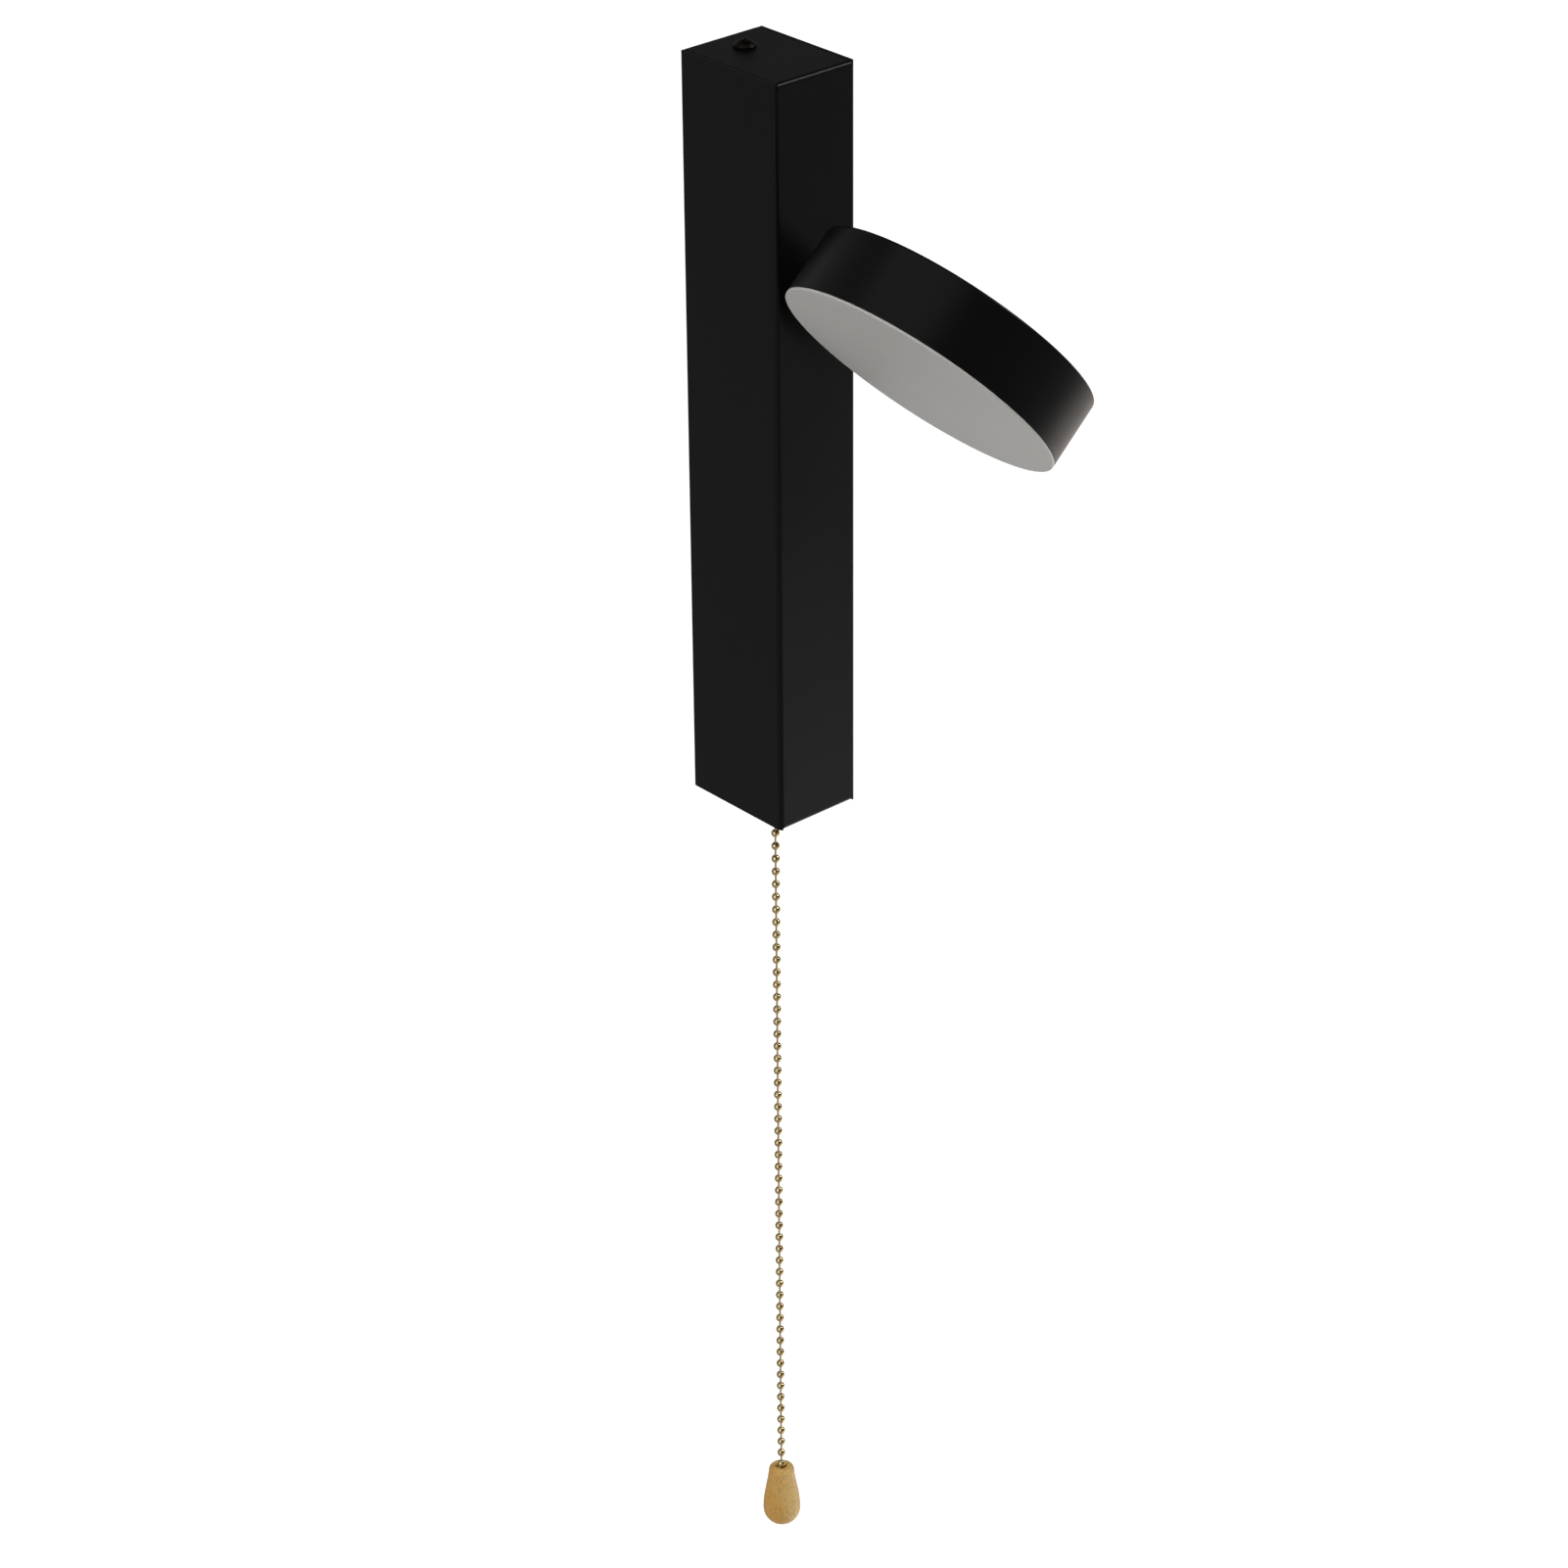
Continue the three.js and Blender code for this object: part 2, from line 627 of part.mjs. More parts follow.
function addDriver() {
  const inner = driverHalf - DRIVER.wall;
  const partsBack = boardFront - GAP;
  const boardHalf = inner - 0.8;
  const boardEnd = (driverTop - driverBottom) / 2 - DRIVER.wall - 4;
  const boardZ = [driverMidZ - boardEnd, driverMidZ + boardEnd];
  const lid = box(-driverHalf, driverHalf, driverFront, trayFront - GAP, driverBottom, driverTop);
  const board = box(-boardHalf, boardHalf, boardFront, boardBack, ...boardZ);
  const transformerHalf = inner * 0.62;
  const transformerZ = [driverMidZ - DRIVER.transformer / 2, driverMidZ + DRIVER.transformer / 2];
  const transformer = box(-transformerHalf, transformerHalf, partsFront, partsBack, ...transformerZ);
  const capacitorAxis = [-inner * 0.35, (partsFront + partsBack) / 2, 0];
  const capacitorBottom = transformerZ[1] + DRIVER.partSpacing;
  const capacitorZ = [capacitorBottom, capacitorBottom + DRIVER.capacitor];
  const capacitor = rod('z', (partsBack - partsFront) / 2, ...capacitorZ, capacitorAxis, 12);
  add('driver_case', driverCase(), WHITE_PLASTIC());
  add('driver_lid', lid, WHITE_PLASTIC());
  add('driver_board', board, BOARD());
  add('driver_transformer', transformer, DARK_PLASTIC());
  add('driver_capacitor', capacitor, DARK_PLASTIC());
  DRIVER_SCREWS_Z.forEach((z, i) => {
    const length = DRIVER.earThickness + BRACKET.sheet;
    const part = screw(SCREW.m3, SCREW.smallHead, SCREW.smallHeight, length);
    const name = `driver_screw_${i === 0 ? 'low' : 'high'}`;
    aim(add(name, part, STEEL()), [0, onBracket - DRIVER.earThickness - GAP, z], [0, -1, 0]);
  });
}

// ---------------------------------------------------------------- pull switch

const caseFrontY = chainY - CASE.depth / 2 + CASE.cover + GAP;
const caseBackY = chainY + CASE.depth / 2;
const cavityBackY = caseBackY - CASE.wall;
const blade = 0.6;
const bladeY = [chainY + MECHANISM.rotorHalf + GAP, chainY + MECHANISM.rotorHalf + GAP + 1.2];
const bladeX = (side) => MECHANISM.axleX + side * (MECHANISM.contactReach + GAP + blade / 2);

function switchCase() {
  const half = CASE.width / 2;
  const wall = CASE.wall;
  const slot = (side) =>
    box(
      bladeX(side) - blade / 2 - GAP,
      bladeX(side) + blade / 2 + GAP,
      bladeY[0] - GAP,
      bladeY[1] + GAP,
      caseCeiling - PAST,
      caseTop + PAST,
    );
  return cut(
    box(-half, half, caseFrontY, caseBackY, caseBottom, caseTop),
    box(-half + wall, half - wall, caseFrontY - PAST, cavityBackY, caseFloor, caseCeiling),
    rod('z', NECK.radius + GAP, caseBottom - PAST, caseFloor + PAST, [0, chainY, 0]),
    rod('y', MECHANISM.axle + GAP, cavityBackY - PAST, cavityBackY + 1, [MECHANISM.axleX, 0, axleZ]),
    slot(-1),
    slot(1),
  );
}

function switchNeck() {
  const bore = neckBore;
  const flare = bore + NECK.mouthFlare;
  const profile = [
    [bore, flangeTop],
    [bore, mouthZ + 2.6],
    [bore + NECK.mouthFlare * 0.35, mouthZ + 1.2],
    [flare, mouthZ],
    [NECK.radius, mouthZ],
    [NECK.radius, caseFloor + GAP],
    [NECK.flange, caseFloor + GAP],
    [NECK.flange, flangeTop],
    [bore, flangeTop],
  ];
  return turned(profile, 20).translate([0, chainY, 0]);
}

/** The knurled ring nut under the housing, its knurl a ring of shallow grooves. */
function ringNut() {
  const top = -halfHeight - GAP;
  const bottom = top - NECK.nutHeight;
  const outline = new THREE.Shape();
  for (let i = 0; i < 2 * NECK.nutTeeth; i += 1) {
    const radius = i % 2 ? NECK.nut : NECK.nut - NECK.nutTooth;
    const angle = (Math.PI * i) / NECK.nutTeeth;
    const corner = [radius * Math.cos(angle), radius * Math.sin(angle)];
    if (i === 0) outline.moveTo(...corner);
    else outline.lineTo(...corner);
  }
  const bore = rod('z', NECK.radius + GAP, bottom - PAST, top + PAST, [0, 0, 0], 20);
  return cut(prism(outline, 'z', bottom, top), bore).translate([0, chainY, 0]);
}

/** Four arms on a hub about the Y axis, at the origin, with a long boss that carries the contact bar. */
function rotor() {
  const { rotorHalf, armHalf, axle, hub, boss } = MECHANISM;
  const end = CASE.depth / 2 - CASE.wall - GAP - 0.1;
  const arms = [1, 3].map((quarter) => {
    const bar = boxGeometry(-rotorReach, rotorReach, -rotorHalf, rotorHalf, -armHalf, armHalf);
    return solid(bar.rotateY((quarter * Math.PI) / 4));
  });
  return cut(
    join(rod('y', hub, -end + CASE.cover * 0.5, rotorHalf), rod('y', boss, rotorHalf - 0.1, end), ...arms),
    rod('y', axle + RUNNING + 0.01, -CASE.depth, CASE.depth),
  );
}

function contactBar() {
  const [y0, y1] = bladeY.map((y) => y - chainY);
  const bar = join(
    box(-1, 1, y0, y1, -MECHANISM.contactReach, MECHANISM.contactReach),
    rod('y', 3.3, y0, y1),
  );
  return bar.subtract(rod('y', MECHANISM.boss + GAP, y0 - PAST, y1 + PAST));
}

function slider() {
  const bore = CHAIN.bead / 2 + GAP;
  const half = bore + 2.2;
  const arm = [pawlArmX, pawlArmX + 1.5];
  const { rotorHalf, pawl, pawlReach } = MECHANISM;
  const [y0, y1] = [chainY - rotorHalf, chainY + rotorHalf];
  const tipTop = pawlBottom + pawl;
  return cut(
    join(
      box(-half, arm[1], chainY - half, chainY + half, sliderBottom, sliderTop),
      box(arm[0], arm[1], y0, y1, sliderTop - 1, tipTop),
      box(arm[0] - pawlReach, arm[1], y0, y1, pawlBottom, tipTop),
    ),
    rod('z', bore, sliderBottom - PAST, sliderTop + PAST, [0, chainY, 0], 16),
  );
}

/** The return spring: an open coil round the chain, its ends at the flange and under the slider. */
function returnSpring() {
  const wire = MECHANISM.springWire / 2;
  const coil = CHAIN.bead / 2 + 1.2 + wire;
  const bottom = springBottom + wire + 0.05;
  const rise = MECHANISM.springLength - 2 * wire - 0.1;
  const points = [];
  const perTurn = 10;
  const count = MECHANISM.springTurns * perTurn;
  for (let i = 0; i <= count; i += 1) {
    const angle = (2 * Math.PI * i) / perTurn;
    points.push([coil * Math.cos(angle), chainY + coil * Math.sin(angle), bottom + (rise * i) / count]);
  }
  return tube(points, wire, count, 5);
}

function addSwitch() {
  const half = CASE.width / 2;
  const coverFront = chainY - CASE.depth / 2;
  const cover = box(-half, half, coverFront, coverFront + CASE.cover, caseBottom, caseTop);
  const washerZ = [-flapInside + GAP, -flapInside + GAP + NECK.washerHeight];
  const washer = ring('z', NECK.washer, NECK.radius + GAP, ...washerZ, [0, chainY, 0]);
  add('switch_case', switchCase(), DARK_PLASTIC());
  add('switch_cover', cover, DARK_PLASTIC());
  add('switch_neck', switchNeck(), BRASS());
  add('neck_washer', washer, STEEL());
  add('neck_ring_nut', ringNut(), BRASS());
  for (const [name, side] of [['contact_line', -1], ['contact_load', 1]]) {
    const x = bladeX(side);
    add(name, box(x - blade / 2, x + blade / 2, ...bladeY, axleZ - 2, bladeTop), BRASS());
  }
  const centre = [MECHANISM.axleX, 0, axleZ];
  add('rotor_axle', rod('y', MECHANISM.axle, caseFrontY, cavityBackY + 0.7, centre), STEEL());
  for (const [name, part, material] of [
    ['switch_rotor', rotor(), WHITE_PLASTIC()],
    ['contact_bar', contactBar(), BRASS()],
  ]) {
    add(name, part, material).position.set(MECHANISM.axleX, chainY, axleZ);
  }
  add('switch_slider', slider(), WHITE_PLASTIC());
  add('return_spring', returnSpring(), STEEL());
}

// ---------------------------------------------------------------- chain and pull

/**
 * The wooden pull, a drop: a ball end cut flat at the foot, a flank that draws in to the neck as
 * half a cosine wave, a rounded top edge, and a recess for the chain.
 */
function woodenPull() {
  const { length, radius, neckRadius, footRadius, shoulder, topRadius, recess } = PULL;
  const hole = CHAIN.bead / 2 + PORT_CLEARANCE;
  const footAngle = Math.asin(footRadius / radius);
  const widest = radius * Math.cos(footAngle);
  const flankTop = length - shoulder;
  const points = [[0, 0]];
  const ballSteps = 6;
  for (let i = 0; i < ballSteps; i += 1) {
    const angle = footAngle + (i / ballSteps) * (Math.PI / 2 - footAngle);
    points.push([radius * Math.sin(angle), widest - radius * Math.cos(angle)]);
  }
  const flankSteps = 6;
  for (let i = 0; i <= flankSteps; i += 1) {
    const share = i / flankSteps;
    const drawIn = (1 - Math.cos(Math.PI * share * 0.85)) / 2;
    points.push([radius - (radius - neckRadius) * drawIn, widest + share * (flankTop - widest)]);
  }
  const edge = points.at(-1)[0] - topRadius;
  const edgeSteps = 3;
  for (let i = 1; i <= edgeSteps; i += 1) {
    const angle = (i / edgeSteps) * (Math.PI / 2);
    points.push([topRadius + edge * Math.cos(angle), flankTop + shoulder * Math.sin(angle)]);
  }
  points.push([hole, length], [hole, length - recess], [0, length - recess]);
  return turned(points, 20).translate([0, chainY, pullTop - length]);
}

function addChain() {
  const radius = CHAIN.bead / 2;
  const sides = 8;
  const end = radius + GAP;
  const innerTop = sliderTop - 0.5;
  const outerBottom = pullTop - PULL.recess + GAP;
  const outerTop = firstBeadZ - end;
  const spacing = 2.5 * CHAIN.bead;
  const steps = Math.round((outerTop - outerBottom) / spacing);
  const straight = (top, bottom, count) =>
    tube([[0, chainY, top], [0, chainY, (top + bottom) / 2], [0, chainY, bottom]], radius, count, sides);
  add('chain_inner', straight(innerTop, firstBeadZ + end, 4), BRASS());
  const bead = new THREE.SphereGeometry(radius, 10, 6).translate(0, chainY, firstBeadZ);
  add('chain_first_bead', solid(bead), BRASS());
  add('chain_outer', straight(outerTop, outerBottom, steps), BRASS());
  add('wooden_pull', woodenPull(), PALE_WOOD());
}

// ---------------------------------------------------------------- head swivel

const nippleHole = NIPPLE.radius + GAP;

/** A hexagon nut along Y. */
function nut(y0, y1) {
  const outer = NIPPLE.nutFlats / Math.sqrt(3);
  const hexagon = rod('y', outer, y0, y1, [0, 0, pivotZ], 6);
  return hexagon.subtract(rod('y', nippleHole, y0 - PAST, y1 + PAST, [0, 0, pivotZ], 16));
}

/** The washer whose finger meets the stop pin after most of a turn. */
function stopWasher(y0, y1) {
  const { fingerHalf, fingerReach } = STOP;
  const finger = boxGeometry(-fingerHalf, fingerHalf, y0, y1, -fingerReach, -NIPPLE.radius - 1);
  const part = join(
    rod('y', NIPPLE.collar, y0, y1, [0, 0, 0], 20),
    solid(finger.rotateY(THREE.MathUtils.degToRad(HEAD.tilt))),
  );
  const hole = rod('y', nippleHole, y0 - PAST, y1 + PAST, [0, 0, 0], 16);
  return part.subtract(hole).translate([0, 0, pivotZ]);
}

const nippleHeadEnd = rimY - HEAD.boardInset + 1;

function addSwivel() {
  const axis = [0, 0, pivotZ];
  const { washer, collar, radius, bore } = NIPPLE;
  const insideWasher = [frontInside + GAP, frontInside + GAP + washer];
  const stop = [insideWasher[1] + GAP, insideWasher[1] + GAP + STOP.washer];
  const wave = [stop[1] + GAP, stop[1] + GAP + NIPPLE.springWasher];
  const lockNut = [wave[1] + GAP, wave[1] + GAP + NIPPLE.nut];
  const outsideWasher = [frontY - GAP - washer, frontY - GAP];
  const nipple = ring('y', radius, bore, nippleHeadEnd, nippleTailY, axis, 16);
  const neckCollar = cut(
    ring('y', collar, nippleHole, rimY - PAST, outsideWasher[0] - GAP, axis),
    headDrum(HEAD.radius + GAP, HEAD.thickness + 2 * PAST),
  );
  add('hollow_nipple', nipple, ZINC());
  add('inner_friction_washer', ring('y', collar, nippleHole, ...insideWasher, axis), WHITE_PLASTIC());
  add('stop_washer', stopWasher(...stop), STEEL());
  add('spring_washer', ring('y', collar - 0.5, nippleHole, ...wave, axis), STEEL());
  add('lock_nut', nut(...lockNut), ZINC());
  add('outer_friction_washer', ring('y', collar, nippleHole, ...outsideWasher, axis), DARK_PLASTIC());
  add('neck_collar', neckCollar, BLACK_COAT());
  const pinZ = pivotZ + STOP.radius;
  add('stop_pin', rod('y', STOP.pin, frontInside + GAP, stop[1] + 0.4, [0, 0, pinZ], 12), STEEL());
}

// ---------------------------------------------------------------- disc head

const headGroup = new THREE.Group();
headGroup.position.set(0, headY, pivotZ);
headGroup.rotation.y = THREE.MathUtils.degToRad(HEAD.tilt);
lamp.add(headGroup);

/** The head's outside as a plain drum in its place, used to shape what meets its rim. */
function headDrum(radius, thickness) {
  const drum = new THREE.CylinderGeometry(radius, radius, thickness, 72).rotateX(Math.PI / 2);
  drum.rotateY(THREE.MathUtils.degToRad(HEAD.tilt));
  return solid(drum.translate(0, headY, pivotZ));
}

const headHalf = HEAD.thickness / 2;
const padBottom = headHalf - HEAD.plate - HEAD.pad;
const SCREW_BITE = 2.2; // how far the board's screws go into the pad
const boardRadius = HEAD.radius - HEAD.boardInset;
const BOARD_SCREWS_X = [1, -1].map((side) => side * boardRadius * 0.72);

/** The cup in the head's own frame: light leaves along -Z. */
function headShell() {
  const mouth = HEAD.radius - HEAD.rimWall;
  const inside = mouth - HEAD.ledge;
  const ledgeZ = -headHalf + HEAD.diffuser + 2 * GAP;
  const rimZ = -headHalf + HEAD.flange + GAP;
  const cup = turned(
    [
      [0, padBottom],
      [boardRadius, padBottom],
      [boardRadius, headHalf - HEAD.plate],
      [inside, headHalf - HEAD.plate],
      [inside, ledgeZ],
      [mouth, ledgeZ],
      [mouth, rimZ],
      [HEAD.radius, rimZ],
      [HEAD.radius, headHalf],
      [0, headHalf],
    ],
    72,
  );
  const screwHole = [padBottom - PAST, padBottom + SCREW_BITE + GAP];
  const holes = BOARD_SCREWS_X.map((x) => rod('z', SCREW.m3 + GAP, ...screwHole, [x, 0, 0], 8));
  const neckHole = rod('y', nippleHole, HEAD.radius - HEAD.boardInset, HEAD.radius + PAST, [0, 0, 0], 16);
  return cut(cup, neckHole, ...holes);
}

/** The opal cover: a disc inside the rim, with a flange that covers it. */
function diffuser() {
  const plug = HEAD.radius - HEAD.rimWall - GAP;
  const backZ = -headHalf + GAP + HEAD.diffuser;
  return turned(
    [
      [0, -headHalf],
      [HEAD.radius, -headHalf],
      [HEAD.radius, -headHalf + HEAD.flange],
      [plug, -headHalf + HEAD.flange],
      [plug, backZ],
      [0, backZ],
    ],
    72,
  );
}

const PACKAGE = { count: 12, half: 1.4, height: 0.7 }; // the light-emitting packages

/** The board with its ring of light-emitting packages, facing -Z. */
function ledBoard() {
  const top = padBottom - GAP;
  const bottom = top - HEAD.board;
  const ringRadius = boardRadius * 0.86;
  const { half, height } = PACKAGE;
  let board = rod('z', boardRadius, bottom, top, [0, 0, 0], 48);
  for (let i = 0; i < PACKAGE.count; i += 1) {
    const angle = (2 * Math.PI * (i + 0.5)) / PACKAGE.count;
    const chip = boxGeometry(-half, half, -half, half, bottom - height, bottom + 0.2);
    chip.translate(ringRadius, 0, 0).rotateZ(angle);
    board = board.add(solid(chip));
  }
  const through = [bottom - PAST, top + PAST];
  const holes = BOARD_SCREWS_X.map((x) => rod('z', SCREW.m3 + GAP, ...through, [x, 0, 0], 8));
  return cut(board, ...holes);
}

function addHead() {
  const boardBottom = padBottom - GAP - HEAD.board;
  add('head_shell', headShell(), BLACK_COAT(), headGroup);
  add('diffuser', diffuser(), OPAL(), headGroup);
  add('led_board', ledBoard(), WHITE_BOARD(), headGroup);
  BOARD_SCREWS_X.forEach((x, i) => {
    const length = HEAD.board + 2 * GAP + SCREW_BITE;
    const part = screw(SCREW.m3, SCREW.smallHead, SCREW.smallHeight, length);
    const mesh = add(`board_screw_${i + 1}`, part, STEEL(), headGroup);
    aim(mesh, [x, 0, boardBottom - GAP], [0, 0, -1]);
  });
  const innerWall = HEAD.radius - HEAD.rimWall - HEAD.ledge;
  const nutRadius = NIPPLE.nutFlats / Math.sqrt(3);
  const nutOuterY = headY + Math.sqrt(innerWall ** 2 - nutRadius ** 2) - GAP;
  add('head_nut', nut(nutOuterY - NIPPLE.nut, nutOuterY), ZINC());
}

// ---------------------------------------------------------------- wires

/** The lead along the neck's axis, which turns with the head and ends at the board. */
function headLead() {
  const tilt = THREE.MathUtils.degToRad(HEAD.tilt);
  const up = (distance, y) => [distance * Math.sin(tilt), y, pivotZ + distance * Math.cos(tilt)];
  const boardFace = padBottom - GAP - HEAD.board - 2 * GAP;
  const turnY = nippleHeadEnd - 5;
  return [
    [0, nippleTailY + 2, pivotZ],
    [0, frontY, pivotZ],
    [0, nippleHeadEnd, pivotZ],
    up(0.4, turnY),
    up(boardFace * 0.45, turnY - 4.5),
    up(boardFace - 1, turnY - 6),
    up(boardFace, turnY - 6),
  ];
}

function addWires() {
  const sleeveStart = terminalBottom + 3;
  const below = terminalBottom - 3;
  const inDriver = driverBottom + 2;
  const contactEnd = bladeTop + GAP;
  const contactY = (bladeY[0] + bladeY[1]) / 2;
  const clearOfBlock = terminalFront - 5;
  const [line, neutral, earth] = [poleX(0), poleX(1), poleX(2)];
  const routes = {
    wire_line: [
      [line, terminalMidY, sleeveStart],
      [line, terminalMidY, below + 1],
      [line, (terminalMidY + contactY) / 2, below - 1.2],
      [bladeX(-1), contactY, below - 3.5],
      [bladeX(-1), contactY, contactEnd],
    ],
    wire_switched: [
      [bladeX(1), contactY, contactEnd],
      [bladeX(1), contactY, contactEnd + 4],
      [bladeX(1) + 2, clearOfBlock, terminalTop],
      [PORT_X + 1, (clearOfBlock + wirePortY) / 2 - 2, driverBottom - 14],
      [PORT_X, wirePortY, driverBottom - 5],
      [PORT_X, wirePortY, inDriver],
    ],
    wire_neutral: [
      [neutral, terminalMidY, sleeveStart],
      [neutral, terminalMidY, below + 1],
      [neutral, terminalFront + 2, below - 2.5],
      [neutral, clearOfBlock, below + 3],
      [neutral - 1, clearOfBlock, terminalTop],
      [-PORT_X, (clearOfBlock + wirePortY) / 2 - 2, driverBottom - 14],
      [-PORT_X, wirePortY, driverBottom - 5],
      [-PORT_X, wirePortY, inDriver],
    ],
    wire_earth: [
      [earth, terminalMidY, sleeveStart],
      [earth, terminalMidY, below],
      [(earth + earthX) / 2, (terminalMidY + tagBarrelY) / 2, (below + tagBarrelTop) / 2],
      [earthX, tagBarrelY, tagBarrelTop + 1],
      [earthX, tagBarrelY, tagBarrelTop - 2.5],
    ],
  };
  const colours = {
    wire_line: '#6b3a1e',
    wire_switched: '#2b2b2b',
    wire_neutral: '#2d57a8',
    wire_earth: '#5c9a2e',
  };
  for (const [name, route] of Object.entries(routes)) {
    add(name, tube(route, WIRE, 5 * (route.length - 1), 6), INSULATION(colours[name]));
  }
  const bendY = nippleTailY + 2 + GAP + 5;
  const overTop = driverTop + 9;
  const lead = [
    [0, nippleTailY + 2 + GAP, pivotZ],
    [0, nippleTailY + 2 + GAP + 1.5, pivotZ],
    [0, bendY - 0.4, pivotZ + 3.6],
    [0, bendY, pivotZ + 8],
    [0, bendY, driverTop],
    [0, (bendY + wirePortY) / 2, overTop],
    [0, wirePortY, driverTop + 3],
    [0, wirePortY, driverTop - 2.5],
  ];
  add('wire_driver_lead', tube(lead, LEAD, 32, 6), INSULATION('#d8d8d8'));
  add('wire_head_lead', tube(headLead(), LEAD, 24, 6), INSULATION('#d8d8d8'));
}

addBracket();
addHousing();
addTerminals();
addEarth();
addDriver();
addSwitch();
addChain();
addSwivel();
addHead();
addWires();

export default lamp;
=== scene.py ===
"""A wall reading lamp with a swivelling disc head and a pull-chain switch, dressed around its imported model.

Lengths are millimetres in the sizes and the surface functions, and become metres when a mesh is made.
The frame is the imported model's: the wall is the plane y = 0, the room is on its -Y side, +Z is up.
"""

import json
import logging
import math
from dataclasses import dataclass, field, replace
from enum import Enum
from typing import Callable, Mapping, Sequence

import bpy
import numpy as np
from mathutils import Matrix, Vector


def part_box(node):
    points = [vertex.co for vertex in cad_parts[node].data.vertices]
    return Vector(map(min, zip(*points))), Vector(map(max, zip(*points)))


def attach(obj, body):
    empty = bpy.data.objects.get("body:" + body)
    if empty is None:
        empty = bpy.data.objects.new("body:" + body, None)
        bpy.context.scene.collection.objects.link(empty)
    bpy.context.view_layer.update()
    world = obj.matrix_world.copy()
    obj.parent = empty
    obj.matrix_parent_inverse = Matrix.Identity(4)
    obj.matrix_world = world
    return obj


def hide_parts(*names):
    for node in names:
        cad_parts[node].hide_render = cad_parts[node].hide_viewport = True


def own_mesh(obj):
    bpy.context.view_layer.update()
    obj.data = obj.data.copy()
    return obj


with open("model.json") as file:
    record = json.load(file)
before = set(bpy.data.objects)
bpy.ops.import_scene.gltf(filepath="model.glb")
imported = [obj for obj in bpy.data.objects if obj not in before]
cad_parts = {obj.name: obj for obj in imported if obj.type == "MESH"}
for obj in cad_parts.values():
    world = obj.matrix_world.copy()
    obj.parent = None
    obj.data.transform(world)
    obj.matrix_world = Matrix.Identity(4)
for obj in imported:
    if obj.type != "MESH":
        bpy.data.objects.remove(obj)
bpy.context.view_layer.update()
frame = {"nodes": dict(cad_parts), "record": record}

log = logging.getLogger("wall_lamp")

Array = np.ndarray
Materials = Mapping[str, bpy.types.Material]
Tree = bpy.types.NodeTree
Socket = bpy.types.NodeSocket
MM = 0.001


# ---------------------------------------------------------------------------------------------
# surfaces
# ---------------------------------------------------------------------------------------------


@dataclass(frozen=True)
class Surface:
    """Points in millimetres with the quads and triangles between them.

    Args:
        points: n x 3 places.
        quads: m x 4 point numbers.
        tris: k x 3 point numbers.
    """

    points: Array
    quads: Array
    tris: Array = field(default_factory=lambda: np.zeros((0, 3), int))

    def volume(self) -> float:
        """Six times the signed volume: the sum of a . (b x c) over the triangles (a, b, c).

        Returns:
            Positive where the faces turn outwards.
        """
        halves = np.vstack([self.quads[:, [0, 1, 2]], self.quads[:, [0, 2, 3]], self.tris])
        a, b, c = (self.points[halves[:, k]] for k in range(3))
        return float(np.einsum("ij,ij->", a, np.cross(b, c)))

    def outward(self) -> "Surface":
        """The same closed surface with its faces pointing out."""
        if self.volume() >= 0:
            return self
        return replace(self, quads=self.quads[:, ::-1], tris=self.tris[:, ::-1])

    def placed(self, matrix: Matrix) -> "Surface":
        """The surface turned and shifted: each point times the matrix's rotation, plus its shift."""
        table = np.array(matrix)
        return replace(self, points=self.points @ table[:3, :3].T + table[:3, 3])

    def copied_to(self, places: Array) -> "Surface":
        """One copy of the surface at each place, as one surface.

        Args:
            places: n x 3 shifts.

        Returns:
            The copies; copy k's point numbers are the original's plus k times its point count.
        """
        count = len(self.points)
        step = (np.arange(len(places)) * count)[:, None, None]
        return Surface(
            (self.points[None] + places[:, None]).reshape(-1, 3),
            (self.quads[None] + step).reshape(-1, 4),
            (self.tris[None] + step).reshape(-1, 3),
        )


def joined(parts: Sequence[Surface]) -> Surface:
    """Several surfaces as one, their point numbers shifted past each other's."""
    starts = np.cumsum([0] + [len(part.points) for part in parts[:-1]])
    return Surface(
        np.vstack([part.points for part in parts]),
        np.vstack([part.quads + start for part, start in zip(parts, starts)]),
        np.vstack([part.tris + start for part, start in zip(parts, starts)]),
    )


def grid_quads(rows: int, columns: int, close_rows: bool = False, close_columns: bool = False) -> Array:
    """The quads of a grid of points numbered row by row.

    Args:
        rows: Number of rows of points.
        columns: Number of points in a row.
        close_rows: Whether the last row joins the first.
        close_columns: Whether a row's last point joins its first.

    Returns:
        m x 4 point numbers: for each cell (i, j) its corners (i, j), (i, j+1), (i+1, j+1), (i+1, j).
    """
    i = np.arange(rows if close_rows else rows - 1)[:, None]
    j = np.arange(columns if close_columns else columns - 1)[None]
    up, across = (i + 1) % rows, (j + 1) % columns
    corners = [i * columns + j, i * columns + across, up * columns + across, up * columns + j]
    return np.stack(np.broadcast_arrays(*corners), axis=-1).reshape(-1, 4)


